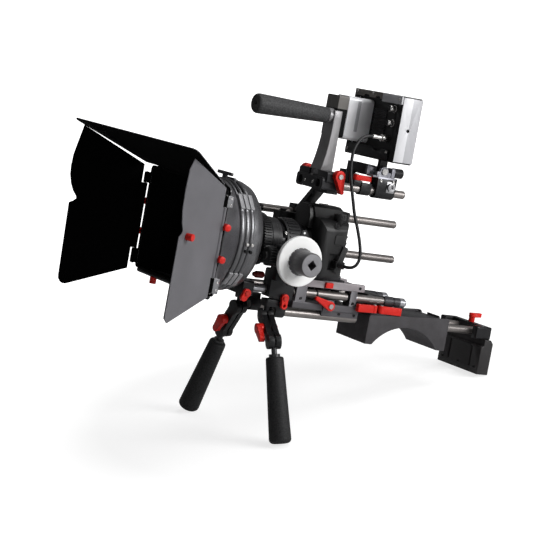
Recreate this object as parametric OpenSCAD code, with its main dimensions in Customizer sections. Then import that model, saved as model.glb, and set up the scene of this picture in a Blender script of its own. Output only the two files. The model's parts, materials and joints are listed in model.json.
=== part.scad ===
// Shoulder rig for a still camera used as a cinema camera: rods, matte box, follow focus,
// top handle, field monitor, ball-arm hand grips, shoulder pad and counterweight.
// The rig stands nose-up on its two grips and the counterweight's rear edge.
// Rig coordinates: X along the lens, Y to the operator's left, Z square to both,
// with X-Y through the main rods' centre lines. rig() sets them on the floor.

/* [Stance] */
// Nose-up angle of the rods when the rig stands by itself
rig_tilt = 16.5; // [14:0.1:18]
// Distance between the two ball centres of a handle arm
arm_len = 67; // [60:1:75]
// Distance from the lower ball centre to the foot of a grip
grip_reach = 180; // [176:1:188]
// Compass angle in which the left grip leans out
left_lean = 59.5; // [40:0.5:80]
// Compass angle in which the right grip leans out
right_lean = -53.5; // [-80:0.5:-40]

/* [Rods] */
// Diameter of every support rod
rod_d = 15; // [15:1:15]
// Distance between the two rods of a pair
rod_gap = 60; // [60:1:60]
// Front end of the main rods
main_front = 188; // [180:1:188]
// Rear end of the main rods
main_rear = -172; // [-180:1:-165]
// Height of the handle rods below the main rods
lower_drop = 39; // [38:1:42]
// Height of the weight rods below the main rods
rear_drop = 38; // [38:1:40]
// Distance of the side rods to the operator's right
side_y = 105; // [102:1:110]
// Height of the upper side rod
side_high = 133; // [130:1:136]
// Height of the lower side rod
side_low = 65; // [62:1:68]
// Height of the top rods
top_rod_z = 201; // [199:1:203]

/* [Camera and lens] */
// Height of the lens axis above the main rods
lens_z = 85; // [85:1:85]
// Width of the camera body
camera_w = 148; // [140:1:150]
// Height of the camera body without the prism
camera_h = 98; // [94:1:102]
// Depth of the camera body
camera_d = 70; // [66:1:74]
// Radius of the lens barrel
lens_r = 37; // [35:0.5:38]

/* [Matte box] */
// Plane of the flag hinges
hood_front = 316; // [310:1:322]
// Width of the hood at its front
hood_w = 296; // [280:2:310]
// Height of the hood at its front
hood_h = 188; // [180:2:196]
// Radius of the matte box's filter rings
box_r = 100; // [98:1:101]
// Depth of the side flags
flag_depth = 132; // [120:1:136]
// Angle by which the side flags stand open
flag_flare = 29; // [20:1:35]
// Angle by which the top flag stands up
top_flare = 26; // [24:1:30]
// Depth of the top flag
top_depth = 132; // [120:1:136]
// Thickness of the flags
flag_t = 2.5; // [2:0.1:3]

/* [Follow focus] */
// Tooth size of the focus gears
gear_m = 1.6; // [1.6:0.1:1.6]
// Teeth on the lens gear
lens_teeth = 58; // [58:1:58]
// Teeth on the drive gear
drive_teeth = 21; // [21:1:21]
// Radius of the white marking disc
disc_r = 45; // [42:1:46]

/* [Handles] */
// Thick end of a foam grip
grip_r = 20; // [18:0.5:21]
// Thin end of a foam grip
grip_neck_r = 16; // [15:0.5:17]
// Radius of the handle balls
ball_r = 10; // [9:0.5:10]
// Height of the top grip's centre line
top_grip_z = 323; // [318:1:328]

/* [Monitor] */
// Width of the monitor
monitor_w = 162; // [156:2:166]
// Height of the monitor
monitor_h = 122; // [118:1:126]
// Depth of the monitor
monitor_d = 42; // [38:1:44]

/* [Shoulder end] */
// Length of the shoulder pad
pad_len = 184; // [178:1:188]
// Width of the shoulder pad
pad_w = 100; // [92:2:104]
// Width of the counterweight
weight_w = 130; // [124:2:136]
// Thickness of the counterweight
weight_t = 27; // [25:1:29]
// Height of the counterweight's slab
weight_h = 68; // [64:1:70]
// Diameter of the video cable
cable_d = 6; // [5:0.5:6.5]

/* [Hidden] */
$fn = 48;

rod_r = rod_d / 2;
rod_y = rod_gap / 2;
slip = 0.02;
gap = 0.3;
red = "#e0301e";
black = "#232326";
steel = "#b9b6b0";
grey = "#8f8f96";

// Counterweight corner that stands on the floor
weight_rear = -373;
weight_low = -49 - weight_h;
rig_z = -(weight_rear * sin(rig_tilt) + weight_low * cos(rig_tilt));
rig_x = -28.54;

function floor_point(p) = [
    rig_x + p[0] * cos(rig_tilt) - p[2] * sin(rig_tilt),
    p[1],
    rig_z + p[0] * sin(rig_tilt) + p[2] * cos(rig_tilt)
];
function unit(v) = v / norm(v);

module rig() translate([rig_x, 0, rig_z]) rotate([0, -rig_tilt, 0]) children();

// Solids along the three axes, from one coordinate to another
module along_x(r, x0, x1, y = 0, z = 0) translate([x0, y, z]) rotate([0, 90, 0]) cylinder(r = r, h = x1 - x0);
module along_y(r, y0, y1, x = 0, z = 0) translate([x, y0, z]) rotate([-90, 0, 0]) cylinder(r = r, h = y1 - y0);
module along_z(r, z0, z1, x = 0, y = 0) translate([x, y, z0]) cylinder(r = r, h = z1 - z0);
module block(low, high) translate(low) cube(high - low);

// Extrusion of an X-Z outline between two Y planes, and of a Y-Z outline between two X planes
module upright(y0, y1) translate([0, y1, 0]) rotate([90, 0, 0]) linear_extrude(y1 - y0) children();
module across(x0, x1) translate([x0, 0, 0]) rotate([90, 0, 90]) linear_extrude(x1 - x0) children();

// Rectangle with round corners, from a low to a high corner
module rounded(low, high, r) {
    translate(low + [r, 0]) square([high[0] - low[0] - 2 * r, high[1] - low[1]]);
    translate(low + [0, r]) square([high[0] - low[0], high[1] - low[1] - 2 * r]);
    for (x = [low[0] + r, high[0] - r], y = [low[1] + r, high[1] - r])
        translate([x, y]) circle(r);
}

// Tapered lever outline from a round hub to a round tip along +X
module lever_outline(len, hub, tip) {
    circle(hub);
    translate([len, 0]) circle(tip);
    polygon([[0, hub - 0.4], [0, 0.4 - hub], [len, 0.4 - tip], [len, tip - 0.4]]);
}

// Frame whose Z runs from a to b and whose X stays close to the row's X
module frame_along(a, b) {
    z = unit(b - a);
    y = unit(cross(z, [1, 0, 0]));
    x = cross(y, z);
    multmatrix([
        [x[0], y[0], z[0], a[0]], [x[1], y[1], z[1], a[1]], [x[2], y[2], z[2], a[2]], [0, 0, 0, 1]
    ]) children();
}

// Rods

module main_rods() color("#6f6861") rig()
    for (y = [-rod_y, rod_y]) {
        along_x(rod_r, main_rear + 50, main_front, y);
        translate([main_rear + 50, y, 0]) rotate([0, -90, 0]) rotate_extrude()
            polygon([[0, 0], [10, 0], [10, 21], [9.2, 22], [9.2, 47], [6, 50], [0, 50]]);
        for (x = [79, 27, -42])
            translate([x, y, 0]) rotate([0, 90, 0]) rotate_extrude() translate([rod_r - 0.2, 0]) square([1.4, 2.4]);
    }

module plain_rod(x0, x1, y, z) {
    along_x(rod_r, x0 + 1, x1 - 1, y, z);
    translate([x1 - 1, y, z]) rotate([0, 90, 0]) cylinder(r1 = rod_r, r2 = rod_r - 1, h = 1);
    translate([x0 + 1, y, z]) rotate([0, -90, 0]) cylinder(r1 = rod_r, r2 = rod_r - 1, h = 1);
}

// Two lengths screwed end to end, with a fine groove where they meet
module joined_rod(x0, joint, x1, y, z) {
    plain_rod(x0, joint, y, z);
    plain_rod(joint, x1, y, z);
    along_x(rod_r - 0.6, joint - 2, joint + 2, y, z);
}

module support_rods() color("#6f6861") rig() {
    for (y = [-rod_y, rod_y]) {
        plain_rod(-372, -213, y, -rear_drop);
        plain_rod(-124, 60, y, top_rod_z);
    }
    plain_rod(-68, left_stud[0] - 17, rod_y, -lower_drop);
    plain_rod(-68, right_stud[0] - 17, -rod_y, -lower_drop);
    joined_rod(-213, -4, 104, -side_y, side_high);
    joined_rod(-223, -4, 60, -side_y, side_low);
}

// Base: clamp under the main rods, camera plate and quick plate

module base_clamp() color(grey) rig() difference() {
    union() {
        across(-62, 80) rounded([-42, -28], [42, -15], 2);
        for (x = [[54, 76], [-56, -42]], s = [-1, 1])
            across(x[0], x[1]) {
                translate([s * rod_y, 0]) circle(11);
                translate([s * rod_y - 11, -16]) square([22, 16]);
                translate([s * rod_y - 11, 0]) square([22, 13]);
            }
        for (s = [-1, 1])
            across(-66, 14) translate([s * rod_y - 9.6, 2 - lower_drop]) square([19.2, 13]);
        upright(42, 46) rounded([-6, -28], [16, -7], 3);
    }
    for (y = [-rod_y, rod_y]) {
        along_x(rod_r + slip, -70, 90, y);
        along_x(rod_r + slip, -70, 90, y, -lower_drop);
    }
    along_z(4.75, -30, -14, 40);
    along_z(3.2, -30, -14, 12);
}

module camera_plate() color(grey) rig() difference() {
    translate([0, 0, 13]) linear_extrude(13) rounded([-74, -38], [84, 38], 3);
    translate([-80, -26, 22]) cube([180, 52, 5]);
    block([-0.5, 27, 14], [16.5, 40, 24.6]);
}

module quick_plate() color("#55555b") rig() difference() {
    union() {
        translate([0, 0, 22]) linear_extrude(7) rounded([-34, -25.7], [78, 25.7], 2);
        translate([0, 0, 29]) linear_extrude(8) rounded([-22, -30], [60, 30], 3);
    }
    along_z(3.3, 20, 38, 30);
}

// Screws that the clamp levers turn on
module pivot_y(x, y, z, side, t) {
    y0 = min(y, y + side * (t + 2 * gap));
    along_y(2.5, y0, y0 + t + 2 * gap, x, z);
    head = y + side * (t + 2 * gap);
    along_y(4.5, min(head, head + side * 1.8), max(head, head + side * 1.8), x, z);
}
module pivot_z(x, y, z, t) {
    along_z(2.5, z, z + t + 2 * gap, x, y);
    along_z(4, z + t + 2 * gap, z + t + 2 * gap + 1.6, x, y);
}

box_pivot = [183, 44, -9];
focus_pivot = [104, 46, -11];
base_pivot = [5, 46, -17];
pad_pivot_front = [-97, 43, -22];
pad_pivot_rear = [-113, 43, -22];
handle_pivot = [40, 49, 219];
monitor_pivot = [-14, 30, 216];
lever_t = 7;
handle_lever_t = 12;

// Clamp screws of the levers, tilt pin of the monitor and hinge pins of the flags
module pivot_pins() color(steel) rig() {
    pivot_y(box_pivot[0], box_pivot[1], box_pivot[2], 1, lever_t);
    pivot_y(focus_pivot[0], focus_pivot[1], focus_pivot[2], 1, lever_t);
    pivot_y(base_pivot[0], base_pivot[1], base_pivot[2], 1, lever_t);
    pivot_y(handle_pivot[0], handle_pivot[1], handle_pivot[2], 1, handle_lever_t);
    pivot_y(handle_pivot[0], -handle_pivot[1], handle_pivot[2], -1, handle_lever_t);
    pivot_z(pad_pivot_front[0], pad_pivot_front[1], pad_pivot_front[2], 14);
    pivot_z(pad_pivot_rear[0], pad_pivot_rear[1], pad_pivot_rear[2], 14);
    pivot_z(monitor_pivot[0], monitor_pivot[1], monitor_pivot[2], 10);
    along_y(3, 20, 42, tilt_axis[0], tilt_axis[1]);
    along_y(6, 42, 45, tilt_axis[0], tilt_axis[1]);
    for (s = [-1, 1]) along_z(2, side_leaves[0][0] - 1, side_leaves[1][1] + 1, hood_front, s * (hood_w / 2 + 1));
    along_y(2, -107, 107, hood_front, lens_z + hood_h / 2 + 1);
}

// Lever on a screw along Y: turn is the arm's angle from +X, upwards
module side_lever(pivot, side, len, hub, tip, turn, t, eye = 0) color(red) rig() difference() {
    y0 = side > 0 ? pivot[1] + gap : -pivot[1] - gap - t;
    translate([pivot[0], 0, pivot[2]]) rotate([0, -turn, 0]) upright(y0, y0 + t) difference() {
        lever_outline(len, hub, tip);
        if (eye > 0) translate([len, 0]) circle(eye);
    }
    along_y(2.6, y0 - 1, y0 + t + 1, pivot[0], pivot[2]);
}

// Paddle lever on a screw along Z, with a lowered arm
module paddle_lever(pivot, len, turn, tall, wide) color(red) rig() translate(pivot + [0, 0, gap]) rotate([0, 0, turn])
    difference() {
        union() {
            cylinder(r = 6.2, h = tall);
            linear_extrude(tall) rounded([0, -wide / 2], [len, wide / 2], 2);
        }
        translate([0, 0, -1]) cylinder(r = 2.6, h = tall + 2);
    }

module box_lever() side_lever(box_pivot, 1, 10, 7.5, 6.5, -62, lever_t);
module focus_lever() side_lever(focus_pivot, 1, 14, 7.5, 6.5, -92, lever_t, 2.8);
module base_lever() side_lever(base_pivot, 1, 33, 9, 4, 21, lever_t);
module handle_lever_left() side_lever(handle_pivot, 1, 29, 10.5, 4, -108, handle_lever_t);
module handle_lever_right() side_lever(handle_pivot, -1, 29, 10.5, 4, -70, handle_lever_t);
module pad_lever_front() paddle_lever(pad_pivot_front, 42, 8, 14, 9);
module pad_lever_rear() paddle_lever(pad_pivot_rear, 42, 172, 14, 9);
module monitor_lever() paddle_lever(monitor_pivot, 32, 180, 10, 8);

// Sprung release button in the near edge of the camera plate
module plate_button() color(red) rig()
    upright(31.5, 42.5) rounded([0, 14.3], [16, 24.3], 1.5);

// Right-hand cage arm that carries the side rods and the top handle

module c_arm() color(black) rig() difference() {
    across(2, 26) {
        polygon([[2, 190], [-46, 190], [-95, 141], [-95, 127], [-40, 182], [2, 182]]);
        polygon([[-95, 148], [-116, 148], [-116, 4], [-100, -12], [-18, -12], [-18, 12], [-88, 12], [-95, 19]]);
    }
    along_x(rod_r + slip, 0, 32, -side_y, side_high);
    along_x(rod_r + slip, 0, 32, -side_y, side_low);
    along_x(rod_r + slip, 0, 32, -rod_y);
    across(-5, 40) rounded([-108, 82], [-102, 114], 2.9);
}

// Top handle: two-rod block, curved arm and tapered foam grip

module handle_block() color("#3a3a3e") rig() difference() {
    union() {
        across(22, 66) rounded([-45, 190], [45, 213], 6);
        across(26, 60) rounded([-49, 205], [49, 224], 4);
    }
    for (y = [-rod_y, rod_y]) along_x(rod_r + slip, 20, 70, y, top_rod_z);
    across(20, 70) translate([-14, 213]) square([28, 12]);
}

module handle_arm() color("#4a4a4e") rig() {
    upright(-11, 11) {
        difference() {
            polygon([[28, 213], [72, 213], [72, 226], [50, 306], [50, 334], [34, 334], [28, 328]]);
            translate([128, 296]) circle(79, $fn = 96);
        }
    }
    along_x(7, 40, 196, 0, top_grip_z);
    along_x(14, 44, 54, 0, top_grip_z);
}

module top_grip() color("#1b1b1d") rig() difference() {
    translate([54, 0, top_grip_z]) rotate([0, 90, 0]) rotate_extrude() {
        polygon([[0, 0], [11, 0], [14.3, 3], [18, 145], [0, 145]]);
        translate([0, 145]) square([11, 7]);
        translate([11, 145]) circle(7);
    }
    along_x(7 + slip, 50, 196 + slip, 0, top_grip_z);
    along_x(3, 196, 210, 0, top_grip_z);
}

// Monitor mount on the top rods

module monitor_clamp() color("#2c2c30") rig() difference() {
    union() {
        across(-96, -54) {
            translate([rod_y, top_rod_z]) circle(12.5);
            translate([rod_y - 12.5, top_rod_z]) square([25, 28]);
        }
        across(-44, -22) {
            translate([rod_y, top_rod_z]) circle(10.5);
            translate([-rod_y, top_rod_z]) circle(10.5);
            translate([rod_y - 10.5, top_rod_z]) square([21, 12]);
            translate([-rod_y - 10.5, top_rod_z]) square([21, 29]);
        }
        block([-24, 22, 207], [-6, 38, 216]);
        across(-58, -36) rounded([-40, 228], [22, 247], 2);
        across(-90, -42) rounded([20, 227], [42, 230.5], 1.5);
        for (y = [20, 36]) upright(y, y + 6) {
            rounded([-80, 228], [-50, 238], 2);
            translate(tilt_axis) circle(9);
        }
        across(-90, -83) rounded([22, 228], [40, 247], 3);
        along_y(8, 42, 48, -84, 212);
    }
    for (y = [-rod_y, rod_y]) along_x(rod_r + slip, -100, 0, y, top_rod_z);
    along_y(3.05, 19, 43, tilt_axis[0], tilt_axis[1]);
    along_y(3.5, 44, 50, -84, 212);
    along_x(3.05, -92, -82, knob_y, tilt_axis[1]);
}

tilt_axis = [-65, 239];
knob_y = 31;

// Knurled screw behind the tilt clevis
module tilt_knob() color("#1e1e20") rig() difference() {
    union() {
        along_x(3, -110, -84, knob_y, tilt_axis[1]);
        along_x(9, -110, -90 - gap, knob_y, tilt_axis[1]);
    }
    for (i = [0:17]) along_x(0.9, -107, -93, knob_y + 9 * cos(i * 20), tilt_axis[1] + 9 * sin(i * 20));
}

// Follow focus: gearbox on a rod clamp, marking disc, knob and gears

focus_x = 115;
focus_z = 63;
gear_span = gear_m * (lens_teeth + drive_teeth) / 2;
gear_y = sqrt(gear_span ^ 2 - (lens_z - focus_z) ^ 2);
gear_x0 = 150;
gear_x1 = 164;

module focus_gearbox() color(black) rig() difference() {
    union() {
        upright(45, 86) rounded([93, 43], [142, 84], 6);
        along_y(14, 86, 87.4, focus_x, focus_z);
        upright(20, 46) rounded([104, -13], [136, 38], 4);
        upright(36, 60) rounded([104, 18], [136, 50], 4);
        upright(18, 46) rounded([86, -15], [126, 12], 4);
        along_x(10, 142, 146, gear_y, focus_z);
    }
    along_x(rod_r + slip, 80, 150, rod_y);
    along_y(5.05, 66, 90, focus_x, focus_z);
    along_x(4.05, 126, 150, gear_y, focus_z);
}

module focus_disc() color("#f4f3ef") rig() difference() {
    translate([focus_x, 88, focus_z]) rotate([-90, 0, 0]) rotate_extrude($fn = 96)
        polygon([[0, 0], [disc_r - 1.5, 0], [disc_r, 1.5], [disc_r, 8], [disc_r - 1.5, 9.5], [0, 9.5]]);
    along_y(5.02, 86, 99, focus_x, focus_z);
}

module focus_knob() color("#1e1e20") rig() difference() {
    union() {
        along_y(5, 67, 98, focus_x, focus_z);
        translate([focus_x, 97.5, focus_z]) rotate([-90, 0, 0]) rotate_extrude()
            polygon([[0, 0], [25, 0], [25, 3], [22, 8], [21.5, 37], [20, 38.5], [0, 38.5]]);
    }
    for (i = [0:15]) {
        a = i * 22.5;
        along_y(2.4, 97, 101.5, focus_x + 26 * cos(a), focus_z + 26 * sin(a));
    }
    translate([focus_x, 127, focus_z]) rotate([0, 45, 0]) cube([13.5, 20, 13.5], center = true);
}

// Spur gear outline with straight-flanked teeth that leave running room in mesh
module gear_outline(teeth, phase) {
    pitch_r = teeth * gear_m / 2;
    root_r = pitch_r - 1.15 * gear_m;
    tip_r = pitch_r + 0.85 * gear_m;
    step = 360 / teeth;
    polygon([for (i = [0:teeth - 1]) for (c = [[root_r, -0.27], [tip_r, -0.13], [tip_r, 0.13], [root_r, 0.27]])
        c[0] * [cos((i + c[1]) * step + phase), sin((i + c[1]) * step + phase)]]);
}

// Direction from the lens axis to the drive gear's axis, in the Y-Z plane
mesh_angle = atan2(focus_z - lens_z, gear_y);

module drive_gear() color("#c9c6bd") rig() {
    across(gear_x0, gear_x1) translate([gear_y, focus_z])
        gear_outline(drive_teeth, mesh_angle + 180 + 180 / drive_teeth);
    along_x(4, 127, gear_x1 + 2, gear_y, focus_z);
    along_x(7, gear_x1, gear_x1 + 4, gear_y, focus_z);
}

module focus_ring() color("#202022") rig() difference() {
    union() {
        across(gear_x0, gear_x1) translate([0, lens_z]) gear_outline(lens_teeth, mesh_angle);
        translate([124, 0, lens_z]) rotate([0, 90, 0]) rotate_extrude()
            polygon([[30, 0], [41, 0], [41, 8], [42, 9], [42, 20], [41, 21], [41, 27], [30, 27]]);
    }
    along_x(lens_r + gap, 110, 170, 0, lens_z);
}

// Ribbed zoom ring next to the camera
module zoom_ring() color("#202022") rig() difference() {
    union() {
        along_x(41.5, 84, 114, 0, lens_z);
        for (i = [0:35]) rotate_about_lens(i * 10) translate([87, 40, lens_z - 1.3]) cube([22, 3.5, 2.6]);
    }
    along_x(lens_r + gap, 80, 120, 0, lens_z);
}
module rotate_about_lens(a) translate([0, 0, lens_z]) rotate([a, 0, 0]) translate([0, 0, -lens_z]) children();

module lens_barrel() color("#18181a") rig() difference() {
    translate([68, 0, lens_z]) rotate([0, 90, 0]) rotate_extrude($fn = 72)
        polygon([
            [0, 0], [33, 0], [33, 8], [39, 10], [39, 15], [lens_r, 15.5], [lens_r, 99], [41.5, 99.5],
            [43, 102], [43, 118], [42, 119], [39, 119], [39, 108], [34, 96], [0, 96]
        ]);
}

module lens_glass() color("#2a2f52") rig()
    translate([164, 0, lens_z]) rotate([0, 90, 0]) rotate_extrude($fn = 72)
        difference() {
            polygon([[0, 0], [33, 0], [33, 3], [26, 6.4], [17, 8.8], [8, 10], [0, 10.3]]);
        }

// Matte box: rod bracket, filter stage with its round back, hood, flags and trays

module box_bracket() color(black) rig() difference() {
    union() {
        across(168, 190) rounded([-44, -14], [44, 12], 4);
        across(180, 190) rounded([-24, 4], [24, 30], 3);
    }
    for (y = [-rod_y, rod_y]) along_x(rod_r + slip, 160, main_front + slip, y);
}

// Three filter rings in front of a domed back, with grip tabs at four places round each ring
ring_bands = [[218, 227], [227.4, 237], [237.4, 247]];
tray_slots = [[228.2, 233.8], [237.9, 243.5]];
light_half = 50;
ring_edge = [for (b = ring_bands) each [
    [box_r - 2.5, b[0]], [box_r - 0.7, b[0] + 1.2], [box_r, b[0] + 3],
    [box_r, b[1] - 3], [box_r - 0.7, b[1] - 1.2], [box_r - 2.5, b[1]]
]];

module filter_stage() color("#2b2b2e") rig() difference() {
    union() {
        translate([0, 0, lens_z]) rotate([0, 90, 0]) rotate_extrude($fn = 96)
            polygon(concat([[46, 190], [78, 190], [84, 192], [box_r - 7, 200], [box_r - 2.5, 211]], ring_edge, [[46, 247]]));
        for (b = ring_bands, a = [42, 138, 223, 317]) rotate_about_lens(a)
            block([b[0] + 1, 90, lens_z - 15], [b[1] - 1, box_r + 2.5, lens_z + 15]);
    }
    across(219, 260) translate([-light_half, lens_z - light_half]) square(2 * light_half);
    for (s = tray_slots) across(s[0], s[1]) translate([-62.5, lens_z - 62.5]) square([125, 200]);
}

// Filter tray that lifts out of its ring by a handle above the rim
module tray(x, stem, top, bar) color("#3c3c40") rig() across(x - 2.2, x + 2.2) difference() {
    union() {
        rounded([-62, lens_z - 62.2], [62, lens_z + 81], 3);
        translate([-stem, lens_z + 76]) square([2 * stem, top - lens_z - 79]);
        rounded([-bar, top - 6], [bar, top], 2.5);
    }
    rounded([-47, lens_z - 47], [47, lens_z + 47], 2);
}
module rear_tray() tray(231, 22, 187, 22);
module front_tray() tray(240.7, 6, 196, 26);

// Hood: from the round filter rings to the wide front frame
module hood_form(grow, x0, x1) hull() {
    across(x0, x0 + 0.5) translate([0, lens_z]) circle(box_r - 3 + grow, $fn = 32);
    across(x1 - 3, x1) rounded([-hood_w / 2 - grow, lens_z - hood_h / 2 - grow], [hood_w / 2 + grow, lens_z + hood_h / 2 + grow], 8, $fn = 24);
}
side_leaves = [[-2, 24.4], [145.6, 165]];
leaf_half = 3.6;

module hood() color("#2b2b2e") rig() difference() {
    union() {
        hood_form(0, 247, hood_front - 6);
        for (s = [-1, 1]) {
            side = s * (hood_w / 2 + 1);
            for (z = side_leaves) across(hood_front - 13, hood_front + leaf_half)
                rounded([side - leaf_half, z[0]], [side + leaf_half, z[1]], 1.2);
            for (z = [57, 112]) along_y(5, s > 0 ? 144 : -158, s > 0 ? 158 : -144, hood_front - 10, z);
            across(hood_front - 13, hood_front + leaf_half) rounded([s * 96 - 10, lens_z + hood_h / 2 + 1 - leaf_half], [s * 96 + 10, lens_z + hood_h / 2 + 1 + leaf_half], 1.2);
        }
    }
    hood_form(-3, 246, hood_front - 5);
    for (s = [-1, 1]) along_z(2.05, -60, 240, hood_front, s * (hood_w / 2 + 1));
    along_y(2.05, -160, 160, hood_front, lens_z + hood_h / 2 + 1);
}

// Side flag in its own plane: X away from the hinge, Y up from the rods, thickness along Z
module side_flag_sheet() linear_extrude(flag_t)
    polygon([
        [3, 145], [7, 145], [7, 178], [flag_depth - 13.5, 222], [flag_depth - 3.5, 204], [flag_depth - 1, 170],
        [flag_depth - 2.5, 137], [flag_depth - 8, 116], [flag_depth - 14, 104], [flag_depth - 12, 98],
        [flag_depth - 5, 93], [flag_depth - 4, -42], [flag_depth - 14, -50], [7, -9], [7, 25], [3, 25]
    ]);

module side_flag(side) color("#55555a") rig() translate([hood_front, side * (hood_w / 2 + 1), 0])
    difference() {
        union() {
            rotate([0, 0, side * flag_flare]) translate([0, -flag_t / 2, 0]) rotate([90, 0, 0]) translate([0, 0, -flag_t])
                side_flag_sheet();
            along_z(4, 25, 145, 0, 0);
            rotate([0, 0, side * flag_flare]) along_y_out(4.5, 8, side, flag_depth - 29, 94);
        }
        along_z(2.3, -60, 240, 0, 0);
    }
// Knurled stop knob on the outer face of a side flag
module along_y_out(r, len, side, x, z) along_y(r, side > 0 ? 0 : -len, side > 0 ? len : 0, x, z);
module left_flag() side_flag(1);
module right_flag() side_flag(-1);

module top_flag() color("#2b2b2e") rig() translate([hood_front, 0, lens_z + hood_h / 2 + 1]) rotate([0, -top_flare, 0])
    difference() {
        union() {
            translate([0, 0, -flag_t / 2]) linear_extrude(flag_t)
                polygon([[3, 84], [7, 84], [7, 146], [top_depth - 10, 230], [top_depth - 3, 230], [top_depth, 222],
                    [top_depth, -222], [top_depth - 3, -230], [top_depth - 10, -230], [7, -146], [7, -84], [3, -84]]);
            along_y(4, -83, 83, 0, 0);
        }
        along_y(2.3, -160, 160, 0, 0);
    }

// Camera body with its grip, prism and eyepiece

camera_x0 = -4;
camera_z0 = 37;
camera_left = 62;
dial_at = [14, 43];

module camera_body() color("#1d1d1f") rig() difference() {
    union() {
        intersection() {
            translate([0, 0, camera_z0]) linear_extrude(camera_h + 40) {
                rounded([camera_x0, camera_left - camera_w], [camera_x0 + camera_d - 8, camera_left], 16);
                rounded([camera_x0, camera_left - camera_w], [camera_x0 + camera_d + 16, camera_left - camera_w + 42], 14);
            }
            across(camera_x0 - 1, camera_x0 + camera_d + 20) polygon([
                [camera_left, camera_z0], [camera_left, 114], [60, 125], [55, 133], [47, 138], [32, 140], [27, 147],
                [22, 157], [12, 161], [-12, 161], [-22, 157], [-29, 146], [-38, 136], [-76, 134],
                [camera_left - camera_w, 124], [camera_left - camera_w, camera_z0]
            ]);
        }
        across(camera_x0 + 20, camera_x0 + camera_d)
            polygon([[-25, 118], [25, 118], [25, 141], [19, 154], [11, 160], [-11, 160], [-19, 154], [-25, 141]]);
        across(camera_x0 - 14, camera_x0 + 8) rounded([-19, 126], [19, 153], 6);
        along_x(36, camera_x0 + camera_d - 10, 68, 0, lens_z);
        translate([10, -9, 159]) cube([20, 18, 3.5]);
        across(camera_x0 - 2, camera_x0 + 1) rounded([-50, 46], [40, 118], 4);
    }
    translate([8, -7.5, 160.5]) cube([24, 15, 3]);
    along_z(9.3, 132, 160, dial_at[0], dial_at[1]);
    along_z(6.3, 128, 140, camera_x0 + camera_d + 2, -66);
    translate([2, camera_left - 6, 50]) cube([32, 8, 30]);
    along_z(3.3, 30, 45, 30);
}

module mode_dial() color("#1a1a1c") rig() difference() {
    union() {
        along_z(9, 132.3, 151, dial_at[0], dial_at[1]);
        along_z(11, 142, 150.4, dial_at[0], dial_at[1]);
    }
    for (i = [0:17]) {
        a = i * 20;
        along_z(0.9, 143, 152, dial_at[0] + 11 * cos(a), dial_at[1] + 11 * sin(a));
    }
}

module shutter_button() color("#27272a") rig()
    along_z(6, 131, 139, camera_x0 + camera_d + 2, -66);

// Video cable with its two plugs; the route is in rig coordinates
cable_route = [
    [-20, 48, 300], [-8, 48, 298], [4, 49, 291], [13, 51, 279], [20, 54, 264], [24, 58, 246], [25, 63, 226],
    [22, 69, 204], [17, 76, 182], [11, 83, 158], [4, 90, 134], [-2, 95, 112], [-5, 99, 94], [-4, 102, 80],
    [0, 102, 70], [5, 98, 64], [10, 91, 62], [13, 82, 62]
];

function route_way(i) = unit(cable_route[min(i + 1, len(cable_route) - 1)] - cable_route[max(i - 1, 0)]);
function route_side(i) = unit(cross(route_way(i), [1, -1, 1]));

module video_cable() color("#1c1c1e") rig() {
    sides = 10;
    last = len(cable_route) - 1;
    ring = [for (i = [0:last]) for (j = [0:sides - 1])
        let (u = route_side(i), v = cross(route_way(i), u), a = 360 * j / sides)
        cable_route[i] + cable_d / 2 * (cos(a) * u + sin(a) * v)];
    skin = [for (i = [0:last - 1]) for (j = [0:sides - 1])
        let (a = i * sides + j, b = i * sides + (j + 1) % sides)
        each [[a, a + sides, b], [b, a + sides, b + sides]]];
    front = [for (j = [1:sides - 2]) [0, j, j + 1]];
    back = [for (j = [1:sides - 2]) [last * sides, last * sides + j + 1, last * sides + j]];
    polyhedron(ring, concat(skin, front, back));
}

module camera_plug() color("#202023") rig() {
    a = cable_route[len(cable_route) - 1];
    b = cable_route[len(cable_route) - 2];
    translate(a) along_way(a - b, 10) cylinder(r1 = 4, r2 = 5.5, h = 10);
    translate([2, 0, 50]) block([3, 57, 5], [21, 72.5, 18]);
}
module along_way(v, h) frame_along([0, 0, 0], unit(v) * h) children();

// Monitor on its tilt tongue, with battery, and the cable's monitor plug

monitor_x = -52;
monitor_z = 259;

module monitor_shell() color("#c9c9cd") rig() {
    difference() {
        union() {
            upright(-monitor_w / 2, monitor_w / 2)
                polygon([
                    [monitor_x, monitor_z], [monitor_x, monitor_z + monitor_h], [monitor_x - monitor_d + 4, monitor_z + monitor_h],
                    [monitor_x - monitor_d, monitor_z + monitor_h - 4], [monitor_x - monitor_d, monitor_z + 4], [monitor_x - monitor_d + 4, monitor_z]
                ]);
            upright(26.5, 35.5) {
                translate(tilt_axis) circle(8);
                translate(tilt_axis - [8, 0]) square([16, 24]);
            }
        }
        across(monitor_x - 3, monitor_x + 1) rounded([-64, monitor_z + 12], [66, monitor_z + monitor_h - 12], 4);
        across(monitor_x - monitor_d - 1, monitor_x - monitor_d + 1.2) rounded([-74, monitor_z + 12], [74, monitor_z + monitor_h - 10], 3);
        along_y(3.3, 20, 40, tilt_axis[0], tilt_axis[1]);
        along_y(3.2, monitor_w / 2 - 10, monitor_w / 2 + 1, -72, 320);
    }
    for (z = [329, 355]) along_x(4.6, monitor_x - 3, monitor_x + 10, 53, z);
}

module battery() color("#bdbdc2") rig() {
    across(monitor_x - 3, 0) rounded([-60, 284], [-16, 364], 7);
    across(0, 22) rounded([-58, 286], [-17, 362], 4);
}

module monitor_plug() color(steel) rig() {
    translate([monitor_x - 3, 48, 300]) rotate([0, 90, 0]) rotate_extrude()
        polygon([[0, 0], [6.5, 0], [6.5, 4], [7, 4.5], [7, 15], [4, 16], [4, 34.2], [0, 34.2]]);
}

// Ball mounts at the front of the lower rods, and the two handles

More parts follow.
